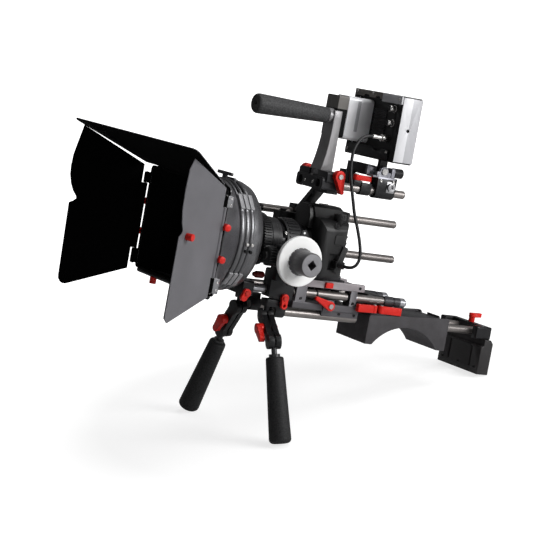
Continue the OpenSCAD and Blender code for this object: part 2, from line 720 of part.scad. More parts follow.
left_stud = [129, 36];
right_stud = [145, -36];
ball_z = -47;
stud_top = -30;
left_up = floor_point([left_stud[0], left_stud[1], ball_z]);
right_up = floor_point([right_stud[0], right_stud[1], ball_z]);
left_low = left_up + arm_len * unit([18.2, 55, -33.2]);
right_low = right_up + arm_len * unit([11.3, -42.4, -50.6]);
stud_way = [-sin(rig_tilt), 0, cos(rig_tilt)];
foot_round = 8;

// Lean of a grip whose rounded foot just meets the floor
function grip_lean(low) = atan2(grip_r - foot_round, grip_reach - foot_round)
    + acos((low[2] - foot_round) / norm([grip_r - foot_round, grip_reach - foot_round]));
function grip_way(low, heading) = let (lean = grip_lean(low))
    [sin(lean) * cos(heading), sin(lean) * sin(heading), -cos(lean)];

// Clamp on the front of a lower rod, with the ball on a stud below its nose
module ball_mount(stud, s) {
    difference() {
        union() {
            across(stud[0] - 37, stud[0] - 17) {
                translate([s * rod_y, -lower_drop]) circle(11);
                translate([s * rod_y - 11, -lower_drop]) square([22, 12]);
            }
            translate([0, 0, stud_top]) linear_extrude(13) rounded([stud[0] - 37, s * 33 - 11], [stud[0] + 8, s * 33 + 11], 4);
        }
        along_x(rod_r + slip, stud[0] - 40, stud[0] - 17, s * rod_y, -lower_drop);
    }
    along_z(5, ball_z, stud_top + 1, stud[0], stud[1]);
    translate([stud[0], stud[1], ball_z]) sphere(ball_r);
}
module ball_mounts() color(black) rig() {
    ball_mount(left_stud, 1);
    ball_mount(right_stud, -1);
}

shell_r = 13.5;
shell_in = 1.5;
shell_out = 11.4;
arm_swing = 15;

// Axes of an arm's own frame, as frame_along sets them
function arm_y(up, low) = unit(cross(unit(low - up), [1, 0, 0]));
function in_arm(up, low, v) = let (z = unit(low - up), y = arm_y(up, low)) [v * cross(y, z), v * y, v * z];

// Room for a stud that leaves a ball along way and swings with the arm
module stud_room(way) {
    wide = 6.2;
    from = [way[1], way[2]] / norm([way[1], way[2]]);
    low = [from[0] * cos(arm_swing) + from[1] * sin(arm_swing), from[1] * cos(arm_swing) - from[0] * sin(arm_swing)];
    high = [from[0] * cos(arm_swing) - from[1] * sin(arm_swing), from[1] * cos(arm_swing) + from[0] * sin(arm_swing)];
    across(min(0, 18 * way[0]) - wide, max(0, 18 * way[0]) + wide)
        polygon([
            wide * [low[1], -low[0]], 22 * low + wide * [low[1], -low[0]],
            22 * high + wide * [-high[1], high[0]], wide * [-high[1], high[0]]
        ]);
}

// Two clamp shells of a ball arm, from the upper ball to the lower ball
module arm_shells(up, low, heading) color("#1f1f21") frame_along(up, low) difference() {
    for (x = [[-shell_out, -shell_in], [shell_in, shell_out]]) across(x[0], x[1]) {
        for (z = [0, arm_len]) translate([0, z]) circle(shell_r);
        translate([-10, 0]) square([20, arm_len]);
    }
    for (z = [0, arm_len]) translate([0, 0, z]) sphere(ball_r + gap);
    stud_room(in_arm(up, low, stud_way));
    translate([0, 0, arm_len]) stud_room(in_arm(up, low, grip_way(low, heading)));
    along_x(3.05, -20, 20, 0, arm_len / 2);
}
module left_arm() arm_shells(left_up, left_low, left_lean);
module right_arm() arm_shells(right_up, right_low, right_lean);

// Wing lever and bolt through the middle of a ball arm
module arm_lever(up, low) color(red) frame_along(up, low) translate([0, 0, arm_len / 2]) rotate([0, 90, 0]) {
    translate([0, 0, -14]) cylinder(r = 3, h = 28);
    translate([0, 0, -14]) cylinder(r = 5.5, h = 14 - shell_out - gap);
    translate([0, 0, shell_out + gap]) cylinder(r = 9, h = 14);
    translate([0, 0, 16]) linear_extrude(9) rotate([0, 0, 180]) lever_outline(25, 9.5, 6.5);
}
module left_arm_lever() arm_lever(left_up, left_low);
module right_arm_lever() arm_lever(right_up, right_low);

// Ball, neck and core of a grip, with the foam over it
module grip_stem(low, heading) color(steel) frame_along(low, low + grip_way(low, heading)) {
    sphere(ball_r);
    cylinder(r = 5, h = 30);
    translate([0, 0, 22]) cylinder(r = 10, h = 5);
    translate([0, 0, 27]) cylinder(r = 6, h = grip_reach - 38);
}
module foam_grip(low, heading) color("#1b1b1d") frame_along(low, low + grip_way(low, heading)) difference() {
    rotate_extrude() {
        polygon([[0, 27], [grip_neck_r - 3, 27], [grip_neck_r, 30], [grip_r, grip_reach - foot_round], [0, grip_reach - foot_round]]);
        translate([0, grip_reach - foot_round]) square([grip_r - foot_round, foot_round]);
        translate([grip_r - foot_round, grip_reach - foot_round]) circle(foot_round);
    }
    cylinder(r = 6 + slip, h = grip_reach - 11 + slip);
}
module left_stem() grip_stem(left_low, left_lean);
module left_grip() foam_grip(left_low, left_lean);
module right_stem() grip_stem(right_low, right_lean);
module right_grip() foam_grip(right_low, right_lean);

// Shoulder end: bracket, plate, arched foam pad, counterweight on its two rods

pad_front = -86;
pad_rear = pad_front - pad_len;

module pad_bracket() color(black) rig() difference() {
    across(-122, -90) rounded([-27, -22], [27, 9], 2);
    for (y = [-rod_y, rod_y]) along_x(rod_r + slip, -130, -80, y);
    across(-112, -100) rounded([-12, -10], [12, 2], 3);
}

module pad_plate() color("#3a3a3d") rig() difference() {
    union() {
        translate([0, 0, -26]) linear_extrude(4) rounded([pad_rear + 4, -47], [pad_front - 2, 47], 3);
        for (y = [-rod_y, rod_y]) across(pad_rear + 10, -213) {
            translate([y, -rear_drop]) circle(10.5);
            translate([y - 10.5, -rear_drop]) square([21, 12.5]);
        }
    }
    for (y = [-rod_y, rod_y]) along_x(rod_r + slip, -280, -140, y, -rear_drop);
}

module shoulder_pad() color("#4b4b50") rig() difference() {
    upright(-pad_w / 2, pad_w / 2) difference() {
        union() {
            rounded([pad_rear, -80], [pad_front, -30], 5);
            polygon([[pad_rear, -40], [pad_rear, -21], [pad_rear + 3, -18], [pad_front - 3, -25.5], [pad_front, -28.5], [pad_front, -40]]);
        }
        translate([-176, -137]) circle(94, $fn = 96);
    }
    block([pad_rear + 3.7, -47.3, -26], [pad_front + 1, 47.3, -10]);
    for (y = [-rod_y, rod_y]) across(pad_rear - 1, -212) {
        translate([y, -rear_drop]) circle(10.6);
        translate([y - 10.6, -rear_drop]) square([21.2, 20]);
    }
}

module weight_clamp() color(black) rig() difference() {
    across(-366, -332) rounded([-60, -49], [60, -25], 3);
    block([-351, -45, -50], [-331, 45, -24]);
    for (y = [-rod_y, rod_y]) along_x(rod_r + gap, -373, -330, y, -rear_drop);
    along_z(3.05, -42, -24, weight_pivot[0], weight_pivot[1]);
}

module counterweight() color("#3d3a3a") rig() difference() {
    upright(-weight_w / 2, weight_w / 2)
        polygon([
            [weight_rear, weight_low], [weight_rear + weight_t, weight_low], [weight_rear + weight_t, -62],
            [weight_rear + weight_t - 6, -62], [weight_rear + weight_t - 6, -49], [weight_rear + 6, -49], [weight_rear, -56]
        ]);
    for (y = [-32, 36]) block([weight_rear + weight_t - 4, y - 2.5, weight_low + 12], [weight_rear + weight_t + 1, y + 2.5, -66]);
}

weight_pivot = [-358, 4, -25];
module weight_lever() color(red) rig() translate(weight_pivot + [0, 0, gap]) {
    translate([0, 0, -15]) cylinder(r = 3, h = 20);
    cylinder(r = 6, h = 12);
    translate([0, 0, 9]) rotate([0, 0, 195]) linear_extrude(8) lever_outline(22, 7, 4.5);
}

main_rods();
support_rods();
base_clamp();
camera_plate();
quick_plate();
pivot_pins();
ball_mounts();
pad_bracket();
pad_plate();
shoulder_pad();
c_arm();
handle_block();
handle_arm();
top_grip();
monitor_clamp();
focus_gearbox();
box_bracket();
filter_stage();
hood();
camera_body();
lens_barrel();
lens_glass();
video_cable();
camera_plug();
top_flag();
left_flag();
right_flag();
front_tray();
rear_tray();
focus_disc();
focus_knob();
drive_gear();
focus_ring();
zoom_ring();
left_arm();
left_stem();
left_grip();
left_arm_lever();
right_arm();
right_stem();
right_grip();
right_arm_lever();
box_lever();
focus_lever();
base_lever();
pad_lever_front();
pad_lever_rear();
counterweight();
weight_clamp();
weight_lever();
handle_lever_left();
handle_lever_right();
monitor_lever();
plate_button();
monitor_shell();
battery();
monitor_plug();
tilt_knob();
shutter_button();
mode_dial();
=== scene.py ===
import json
import math

import bpy
from mathutils import Matrix, Vector
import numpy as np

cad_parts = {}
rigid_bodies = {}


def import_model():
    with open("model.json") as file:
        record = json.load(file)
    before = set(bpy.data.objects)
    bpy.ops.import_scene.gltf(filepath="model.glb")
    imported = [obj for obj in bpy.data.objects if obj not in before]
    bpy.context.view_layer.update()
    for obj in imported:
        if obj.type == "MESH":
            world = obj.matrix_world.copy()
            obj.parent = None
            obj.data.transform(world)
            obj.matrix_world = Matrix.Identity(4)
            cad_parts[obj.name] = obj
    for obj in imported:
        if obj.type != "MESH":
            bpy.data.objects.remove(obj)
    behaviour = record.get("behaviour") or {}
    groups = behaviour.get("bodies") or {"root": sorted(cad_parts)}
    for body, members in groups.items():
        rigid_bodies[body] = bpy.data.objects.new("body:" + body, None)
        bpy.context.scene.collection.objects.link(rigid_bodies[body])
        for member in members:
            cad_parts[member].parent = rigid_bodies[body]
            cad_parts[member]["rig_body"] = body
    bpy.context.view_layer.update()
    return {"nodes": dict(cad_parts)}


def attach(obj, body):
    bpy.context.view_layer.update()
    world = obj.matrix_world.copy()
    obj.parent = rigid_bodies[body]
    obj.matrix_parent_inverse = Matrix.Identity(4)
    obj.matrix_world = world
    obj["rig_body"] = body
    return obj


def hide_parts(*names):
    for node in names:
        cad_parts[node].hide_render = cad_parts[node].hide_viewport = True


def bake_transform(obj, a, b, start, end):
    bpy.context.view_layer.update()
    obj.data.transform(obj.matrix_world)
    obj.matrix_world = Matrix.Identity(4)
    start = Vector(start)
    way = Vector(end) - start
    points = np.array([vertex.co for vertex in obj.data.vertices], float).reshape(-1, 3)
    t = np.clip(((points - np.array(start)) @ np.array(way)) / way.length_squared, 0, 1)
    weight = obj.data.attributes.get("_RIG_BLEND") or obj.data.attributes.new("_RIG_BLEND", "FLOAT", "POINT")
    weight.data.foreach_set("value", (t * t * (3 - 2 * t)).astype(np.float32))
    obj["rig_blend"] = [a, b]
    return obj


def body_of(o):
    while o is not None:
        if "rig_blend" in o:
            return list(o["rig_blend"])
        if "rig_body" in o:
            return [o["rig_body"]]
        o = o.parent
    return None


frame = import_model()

# Camera and studio
# A white seamless floor under a white background, a large soft key light from the operator's
# left rear, a soft top light and a weak fill. The camera stands at the photograph's place.
view_aim = Vector((0.0772, 0.0021, 0.2848))
view_distance = 3.25
view_azimuth = math.radians(150.856)
view_height = math.radians(14.33)
view_roll = math.radians(-4.232)
view_lens = 120.9

view_way = Vector((
    math.sin(view_azimuth) * math.cos(view_height),
    -math.cos(view_azimuth) * math.cos(view_height),
    math.sin(view_height),
))
bpy.ops.object.camera_add(location=view_aim + view_distance * view_way)
camera = bpy.context.object
camera.name = "photo_camera"
level = (-view_way).to_track_quat("-Z", "Y").to_matrix()
camera.rotation_euler = (level @ Matrix.Rotation(view_roll, 3, "Z")).to_euler()
camera.data.lens = view_lens
camera.data.sensor_width = 36.0
camera.data.clip_end = 50.0
bpy.context.scene.camera = camera
bpy.context.scene.view_settings.view_transform = "Standard"


def softbox(name, place, width, watts):
    """A square soft light that looks at the rig."""
    bpy.ops.object.light_add(type="AREA", location=place)
    lamp = bpy.context.object
    lamp.name = name
    lamp.data.shape = "SQUARE"
    lamp.data.size = width
    lamp.data.energy = watts
    lamp.rotation_euler = (view_aim - Vector(place)).to_track_quat("-Z", "Y").to_euler()


softbox("key_light", (-1.5, 2.3, 1.25), 1.3, 66.0)
softbox("top_light", (-0.9, 0.3, 2.6), 1.4, 26.0)
softbox("front_fill", (2.0, 2.2, 0.7), 1.0, 1.5)


def add_node(tree, kind, operation=None):
    """A new shader node, set to its operation if it has one."""
    made = tree.nodes.new("ShaderNode" + kind)
    if operation:
        made.operation = operation
    return made


studio = bpy.data.worlds.new("studio")
bpy.context.scene.world = studio
studio.use_nodes = True
sky = studio.node_tree
sky.nodes.clear()
sky_out = add_node(sky, "OutputWorld")
sky_mix = add_node(sky, "MixShader")
sky_soft = add_node(sky, "Background")
sky_soft.inputs["Color"].default_value = (0.95, 0.96, 1.0, 1.0)
sky_soft.inputs["Strength"].default_value = 0.06
sky_white = add_node(sky, "Background")
sky_white.inputs["Color"].default_value = (1.0, 1.0, 1.0, 1.0)
sky_white.inputs["Strength"].default_value = 1.0
sky_ray = add_node(sky, "LightPath")
sky_shine = add_node(sky, "Math", "MULTIPLY")
sky_shine.inputs[1].default_value = 0.12
sky_seen = add_node(sky, "Math", "MAXIMUM")
sky_through = add_node(sky, "Math", "MAXIMUM")
sky.links.new(sky_ray.outputs["Is Glossy Ray"], sky_shine.inputs[0])
sky.links.new(sky_ray.outputs["Is Camera Ray"], sky_seen.inputs[0])
sky.links.new(sky_shine.outputs["Value"], sky_seen.inputs[1])
sky.links.new(sky_seen.outputs["Value"], sky_through.inputs[0])
sky.links.new(sky_ray.outputs["Is Transmission Ray"], sky_through.inputs[1])
sky.links.new(sky_through.outputs["Value"], sky_mix.inputs["Fac"])
sky.links.new(sky_soft.outputs["Background"], sky_mix.inputs[1])
sky.links.new(sky_white.outputs["Background"], sky_mix.inputs[2])
sky.links.new(sky_mix.outputs["Shader"], sky_out.inputs["Surface"])


def map_range(tree, *limits):
    """A node that maps one range of values onto another."""
    made = add_node(tree, "MapRange")
    for socket, limit in zip(("From Min", "From Max", "To Min", "To Max"), limits):
        made.inputs[socket].default_value = limit
    return made


bpy.ops.mesh.primitive_plane_add(size=24.0, location=(0.0, 0.0, -0.0005))
floor = bpy.context.object
floor.name = "studio_floor"
paper = bpy.data.materials.new("white_paper")
paper.use_nodes = True
paper_tree = paper.node_tree
paper_tree.nodes.clear()
paper_out = add_node(paper_tree, "OutputMaterial")
paper_mix = add_node(paper_tree, "MixShader")
paper_soft = add_node(paper_tree, "BsdfDiffuse")
paper_soft.inputs["Color"].default_value = (0.86, 0.86, 0.86, 1.0)
paper_glow = add_node(paper_tree, "Emission")
paper_glow.inputs["Strength"].default_value = 1.6
paper_ray = add_node(paper_tree, "LightPath")
paper_place = add_node(paper_tree, "TexCoord")
paper_far = add_node(paper_tree, "VectorMath", "LENGTH")
paper_share = map_range(paper_tree, 0.4, 0.9, 0.48, 1.0)
paper_seen = add_node(paper_tree, "Math", "MULTIPLY")
paper_tree.links.new(paper_place.outputs["Object"], paper_far.inputs[0])
paper_tree.links.new(paper_far.outputs["Value"], paper_share.inputs["Value"])
paper_tree.links.new(paper_share.outputs["Result"], paper_seen.inputs[0])
paper_tree.links.new(paper_ray.outputs["Is Camera Ray"], paper_seen.inputs[1])
paper_tree.links.new(paper_seen.outputs["Value"], paper_mix.inputs["Fac"])
paper_tree.links.new(paper_soft.outputs["BSDF"], paper_mix.inputs[1])
paper_tree.links.new(paper_glow.outputs["Emission"], paper_mix.inputs[2])
paper_tree.links.new(paper_mix.outputs["Shader"], paper_out.inputs["Surface"])
floor.data.materials.append(paper)

# Video cable
# A thin round video lead with a soft black jacket, from the monitor's back down to the socket
# in the camera's side. Its two ends are moulded plugs, so it is held at both ends and hangs clear.
rig_tilt = math.radians(16.5)
rig_place = Vector((-0.02854, 0.0, 0.373 * math.sin(rig_tilt) + 0.117 * math.cos(rig_tilt)))
rig_turn = Matrix.Rotation(-rig_tilt, 3, "Y")


def on_rig(x, y, z):
    """A point given in millimetres along the rods, to the operator's left and up from the rods."""
    return rig_place + rig_turn @ Vector((x, y, z)) / 1000.0


def rig_way(x, y, z):
    """A direction given along the rods, to the operator's left and up from the rods."""
    return (rig_turn @ Vector((x, y, z))).normalized()


def smooth_noise(tree, scale, detail, low, high):
    """Noise on Object coordinates, mapped to a range."""
    place = add_node(tree, "TexCoord")
    noise = add_node(tree, "TexNoise")
    noise.inputs["Scale"].default_value = scale
    noise.inputs["Detail"].default_value = detail
    spread = map_range(tree, 0.3, 0.7, low, high)
    tree.links.new(place.outputs["Object"], noise.inputs["Vector"])
    tree.links.new(noise.outputs["Fac"], spread.inputs["Value"])
    return noise, spread


first_colour = 6  # sockets of a Mix node
mixed_colour = 2
gloss_change = 0.06


def two_tone(tree, patch, detail, dark, light):
    """A base colour that wanders between two tones in patches."""
    _, share = smooth_noise(tree, patch, detail, 0.0, 1.0)
    blend = add_node(tree, "Mix")
    blend.data_type = "RGBA"
    blend.inputs[first_colour].default_value = (*dark, 1.0)
    blend.inputs[first_colour + 1].default_value = (*light, 1.0)
    tree.links.new(share.outputs["Result"], blend.inputs[0])
    tree.links.new(blend.outputs[mixed_colour], tree.nodes["Principled BSDF"].inputs["Base Color"])


def finish_of(name, dark, light, rough, metal=0.0, grain=1100.0, depth=0.1, patch=14.0, shine=0.3):
    """A procedural finish: broad colour change, fine grain in the bump, and uneven gloss."""
    made = bpy.data.materials.new(name)
    made.use_nodes = True
    tree = made.node_tree
    shader = tree.nodes["Principled BSDF"]
    shader.inputs["Metallic"].default_value = metal
    shader.inputs["Specular IOR Level"].default_value = shine
    two_tone(tree, patch, 4.0, dark, light)
    fine, gloss = smooth_noise(tree, grain, 2.0, rough - gloss_change, rough + gloss_change)
    tree.links.new(gloss.outputs["Result"], shader.inputs["Roughness"])
    bump = add_node(tree, "Bump")
    bump.inputs["Strength"].default_value = depth
    bump.inputs["Distance"].default_value = 0.0004
    tree.links.new(fine.outputs["Fac"], bump.inputs["Height"])
    tree.links.new(bump.outputs["Normal"], shader.inputs["Normal"])
    return made


def dress(material, *names):
    """Give CAD nodes a finish."""
    for name in names:
        node = frame["nodes"][name]
        node.data.materials.clear()
        node.data.materials.append(material)


jacket = finish_of("cable_jacket", (0.01, 0.01, 0.011), (0.016, 0.016, 0.017), 0.42, grain=1400.0, depth=0.08)
cable_d = 0.006
cable_points = [
    (-20, 48, 300), (-8, 48, 298), (4, 49, 291), (13, 51, 279), (20, 56, 264), (24, 63, 246), (25, 69, 226),
    (22, 75, 204), (17, 79, 182), (11, 83, 158), (4, 90, 134), (-2, 95, 112), (-5, 99, 94), (-4, 102, 80),
    (0, 102, 70), (5, 98, 64), (10, 91, 62), (13, 82, 62),
]
cable_route = [on_rig(*p) for p in cable_points]


def between(a, b, c, d, t):
    """A smooth curve through b and c, with its ends led by a and d."""
    bend = 2 * a - 5 * b + 4 * c - d
    twist = 3 * b - a - 3 * c + d
    return 0.5 * (2 * b + (c - a) * t + bend * t * t + twist * t ** 3)


cable_steps = 6
cable_line = []
last_point = len(cable_route) - 1
for i in range(last_point):
    before = cable_route[max(i - 1, 0)]
    after = cable_route[min(i + 2, last_point)]
    for k in range(cable_steps):
        cable_line.append(between(before, cable_route[i], cable_route[i + 1], after, k / cable_steps))
cable_line.append(cable_route[-1])

bpy.ops.curve.primitive_nurbs_path_add(location=(0.0, 0.0, 0.0))
cable = bpy.context.object
cable.name = "cable_lead"
cable.data.splines.clear()
run = cable.data.splines.new("POLY")
run.points.add(len(cable_line) - 1)
for point, place in zip(run.points, cable_line):
    point.co = (*place, 1.0)
cable.data.bevel_depth = cable_d / 2
cable.data.bevel_resolution = 4
cable.data.use_fill_caps = True
bpy.ops.object.convert(target="MESH")
cable = bpy.context.object
bpy.ops.object.shade_smooth()
cable.data.materials.clear()
cable.data.materials.append(jacket)
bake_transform(cable, "monitor", "rig", start=cable_route[0], end=cable_route[10])
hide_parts("video_cable")
dress(jacket, "camera_plug")

# Rods
# Drawn 15 mm tubes with a satin warm-grey anodised skin, pushed through the clamps.
# The main pair is screwed together from sections, with black joint rings, and every end has a plug.
def rig_coords(tree, height=0.0):
    """Places along the rods, to the operator's left and up from a height above the rods."""
    place = add_node(tree, "TexCoord")
    turn = add_node(tree, "Mapping")
    turn.inputs["Rotation"].default_value = (0.0, rig_tilt, 0.0)
    turn.inputs["Location"].default_value = -(rig_turn.transposed() @ rig_place) - Vector((0.0, 0.0, height))
    tree.links.new(place.outputs["Object"], turn.inputs["Vector"])
    return turn.outputs["Vector"]


def zone(tree, low, high):
    """One inside a box given in rig millimetres, nothing outside it."""
    parts = add_node(tree, "SeparateXYZ")
    tree.links.new(rig_coords(tree), parts.inputs["Vector"])
    inside = None
    for axis, a, b in zip("XYZ", low, high):
        near = add_node(tree, "Math", "COMPARE")
        near.inputs[1].default_value = (a + b) / 2000.0
        near.inputs[2].default_value = (b - a) / 2000.0
        tree.links.new(parts.outputs[axis], near.inputs[0])
        if inside is None:
            inside = near.outputs[0]
        else:
            both = add_node(tree, "Math", "MULTIPLY")
            tree.links.new(inside, both.inputs[0])
            tree.links.new(near.outputs[0], both.inputs[1])
            inside = both.outputs[0]
    return inside


first_value = 2  # sockets of a Mix node
mixed_value = 0


def repaint(material, mask, colour, rough=None, metal=None, shine=None):
    """Another colour, and if given another gloss, metal look and shine, where the mask is one."""
    tree = material.node_tree
    shader = tree.nodes["Principled BSDF"]
    changes = [
        ("Base Color", "RGBA", first_colour, mixed_colour, (*colour, 1.0)),
        ("Roughness", "FLOAT", first_value, mixed_value, rough),
        ("Metallic", "FLOAT", first_value, mixed_value, metal),
        ("Specular IOR Level", "FLOAT", first_value, mixed_value, shine),
    ]
    for socket, kind, first, result, value in changes:
        if value is None:
            continue
        target = shader.inputs[socket]
        swap = add_node(tree, "Mix")
        swap.data_type = kind
        if target.links:
            tree.links.new(target.links[0].from_socket, swap.inputs[first])
        else:
            swap.inputs[first].default_value = target.default_value
        swap.inputs[first + 1].default_value = value
        tree.links.new(mask, swap.inputs[0])
        tree.links.new(swap.outputs[result], target)


def band_of(material, low, high, colour, rough=None, metal=None, shine=None):
    """Repaint what lies inside a box given in rig millimetres."""
    repaint(material, zone(material.node_tree, low, high), colour, rough, metal, shine)


def loop_of(name, corners):
    """A closed loop of edges through corners in metres, open for editing."""
    bpy.ops.mesh.primitive_circle_add(vertices=len(corners), location=(0.0, 0.0, 0.0))
    piece = bpy.context.object
    piece.name = name
    for corner, place in zip(piece.data.vertices, corners):
        corner.co = place
    bpy.ops.object.mode_set(mode="EDIT")
    bpy.ops.mesh.select_all(action="SELECT")
    return piece


def face_out():
    """Turn every face outward, and end the editing."""
    bpy.ops.mesh.select_all(action="SELECT")
    bpy.ops.mesh.normals_make_consistent(inside=False)
    bpy.ops.object.mode_set(mode="OBJECT")


def set_down(piece, matrix):
    """Move a piece from where it was drawn to its place."""
    piece.matrix_world = matrix
    bpy.ops.object.transform_apply(location=True, rotation=True, scale=True)
    return piece


def looking(spot, way):
    """A place at a spot, with Z along a way."""
    return Matrix.Translation(spot) @ way.to_track_quat("Z", "X").to_matrix().to_4x4()


weld_gap = 1e-6


def turned(name, outline, start=Vector((0.0, 0.0, 0.0)), way=Vector((0.0, 0.0, 1.0)), steps=64):
    """A turned form: a closed outline of (radius, distance) in millimetres, spun round its own axis."""
    piece = loop_of(name, [(radius / 1000.0, 0.0, distance / 1000.0) for radius, distance in outline])
    bpy.ops.mesh.spin(steps=steps, angle=2.0 * math.pi, center=(0.0, 0.0, 0.0), axis=(0.0, 0.0, 1.0))
    bpy.ops.mesh.select_all(action="SELECT")
    bpy.ops.mesh.remove_doubles(threshold=weld_gap)
    bpy.ops.mesh.delete_loose(use_faces=False)
    face_out()
    return set_down(piece, looking(start, way))


def pick(piece):
    """Make a piece the active one, and the only one selected."""
    bpy.ops.object.select_all(action="DESELECT")
    bpy.context.view_layer.objects.active = piece
    piece.select_set(True)


def seat(piece, material, body, smooth=38.0):
    """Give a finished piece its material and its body."""
    pick(piece)
    bpy.ops.object.shade_smooth_by_angle(angle=math.radians(smooth))
    piece.data.materials.clear()
    piece.data.materials.append(material)
    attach(piece, body)
    return piece


def spread_out(model, name, spots, material, body):
    """Copies of one modelled piece, each set on its spot and looking its way, joined as one group."""
    copies = []
    for spot, way in spots:
        one = model.copy()
        one.data = model.data.copy()
        bpy.context.collection.objects.link(one)
        one.data.transform(looking(spot, way))
        copies.append(one)
    bpy.ops.object.select_all(action="DESELECT")
    for one in copies:
        one.select_set(True)
    bpy.context.view_layer.objects.active = copies[0]
    if len(copies) > 1:
        bpy.ops.object.join()
    copies[0].name = name
    return seat(copies[0], material, body)


def put_away(*models):
    """Remove forms that were only copied or cut with."""
    bpy.ops.object.select_all(action="DESELECT")
    for model in models:
        model.select_set(True)
    bpy.ops.object.delete()


wide = 900.0
ahead = rig_way(1, 0, 0)
back = rig_way(-1, 0, 0)
near_side = rig_way(0, 1, 0)
far_side = rig_way(0, -1, 0)
up = rig_way(0, 0, 1)
down = rig_way(0, 0, -1)
jet = (0.006, 0.006, 0.007)
bright = (0.4, 0.4, 0.42)
main_reach = 14
half_ring = 1.6
rod_skin = finish_of(
    "rod_skin", (0.2, 0.185, 0.178), (0.27, 0.25, 0.24), 0.36, metal=0.75, grain=420.0, depth=0.04,
)


def rod_band(start, end, colour, rough, metal=None):
    """Repaint a length of the two main rods."""
    band_of(rod_skin, (start, -wide, -main_reach), (end, wide, main_reach), colour, rough, metal)


for start, end in ((62, 76), (-60, -44), (140, 168), (-180, -158)):
    rod_band(start, end, bright, 0.28)
rod_band(-158, -121.8, (0.05, 0.05, 0.055), 0.36, 0.3)
for ring in (80.2, 28.2, -40.8, 135.0):
    rod_band(ring - half_ring, ring + half_ring, jet, 0.4, 0.0)
rod_band(-145, -141, jet, 0.4, 0.0)
# A near-black band near the front end of the upper side rod.
band_of(rod_skin, (92, -wide, 120), (110, -90, 150), (0.008, 0.008, 0.009), 0.4, 0.0)
dress(rod_skin, "main_rods", "support_rods")

plug_skin = finish_of(
    "plug_black", (0.01, 0.01, 0.011), (0.018, 0.018, 0.019), 0.45, grain=1200.0, depth=0.15,
)
plug_outline = [
    (0.0, -0.4), (6.3, -0.4), (6.3, 0.6), (5.9, 1.1), (3.3, 1.3), (3.0, 0.9), (3.0, 0.2), (0.0, 0.2),
]
plug = turned("rod_plug", plug_outline, steps=32)
rod_ends = [(on_rig(x, -105, z), way) for x, z, way in (
    (-213, 133, back), (104, 133, ahead), (-223, 65, back), (60, 65, ahead),
)]
for y in (-30, 30):
    rod_ends += [(on_rig(-124, y, 201), back), (on_rig(60, y, 201), ahead), (on_rig(-68, y, -39), back)]
    rod_ends += [(on_rig(-372, y, -38), back), (on_rig(188, y, 0), ahead), (on_rig(-172, y, 0), back)]
spread_out(plug, "rod_plugs", rod_ends, plug_skin, "rig")
put_away(plug)

# Base clamp and camera plates
# Machined aluminium: the clamp and the sliding plate are grey anodised over a fine blasted surface,
# the quick plate is darker. The clamp grips the main rods, and the plate slides in its dovetail.
def rounded(piece, width, parts=3, angle=32.0):
    """Round a piece's sharp edges."""
    pick(piece)
    bpy.ops.object.modifier_add(type="BEVEL")
    edge = piece.modifiers[-1]
    edge.width = width / 1000.0
    edge.segments = parts
    edge.limit_method = "ANGLE"
    edge.angle_limit = math.radians(angle)
    bpy.ops.object.modifier_apply(modifier=edge.name)
    return piece


def softened(node, width, material, parts=2, angle=32.0):
    """The node's own form with its sharp edges broken, as deburred metal has them."""
    source = frame["nodes"][node]
    piece = source.copy()
    piece.data = source.data.copy()
    piece.parent = None
    piece.matrix_world = source.matrix_world.copy()
    for key in list(piece.keys()):
        del piece[key]
    bpy.context.collection.objects.link(piece)
    piece.name = node + "_edged"
    pick(piece)
    bpy.ops.object.mode_set(mode="EDIT")
    bpy.ops.mesh.select_all(action="SELECT")
    bpy.ops.mesh.customdata_custom_splitnormals_clear()
    bpy.ops.mesh.remove_doubles(threshold=weld_gap)
    bpy.ops.mesh.dissolve_limited(angle_limit=math.radians(0.6))
    bpy.ops.object.mode_set(mode="OBJECT")
    rounded(piece, width, parts, angle)
    seat(piece, material, body_of(source)[0])
    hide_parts(node)
    return piece


def sink(piece, way, rim, depth):
    """Leave a rim round the face that looks a way, and push the middle of that face in."""
    pick(piece)
    bpy.ops.object.mode_set(mode="EDIT")
    bpy.ops.mesh.select_mode(type="FACE")
    bpy.ops.mesh.select_all(action="DESELECT")
    bpy.ops.object.mode_set(mode="OBJECT")
    for face in piece.data.polygons:
        face.select = face.normal.dot(way) > 0.99
    bpy.ops.object.mode_set(mode="EDIT")
    bpy.ops.mesh.inset(thickness=rim / 1000.0, depth=0.0)
    bpy.ops.mesh.extrude_region_move(TRANSFORM_OT_translate={"value": -way * depth / 1000.0})
    face_out()
    return piece


def socket_screw(name, radius, height):
    """A cap screw's head, with a turned edge and a sunk socket."""
    bpy.ops.mesh.primitive_cylinder_add(
        vertices=18, radius=radius / 1000.0, depth=height / 1000.0, location=(0.0, 0.0, 0.0),
    )
    screw = bpy.context.object
    screw.name = name
    sink(screw, Vector((0.0, 0.0, 1.0)), radius * 0.45, height * 0.4)
    return rounded(screw, radius * 0.14, parts=2, angle=60.0)


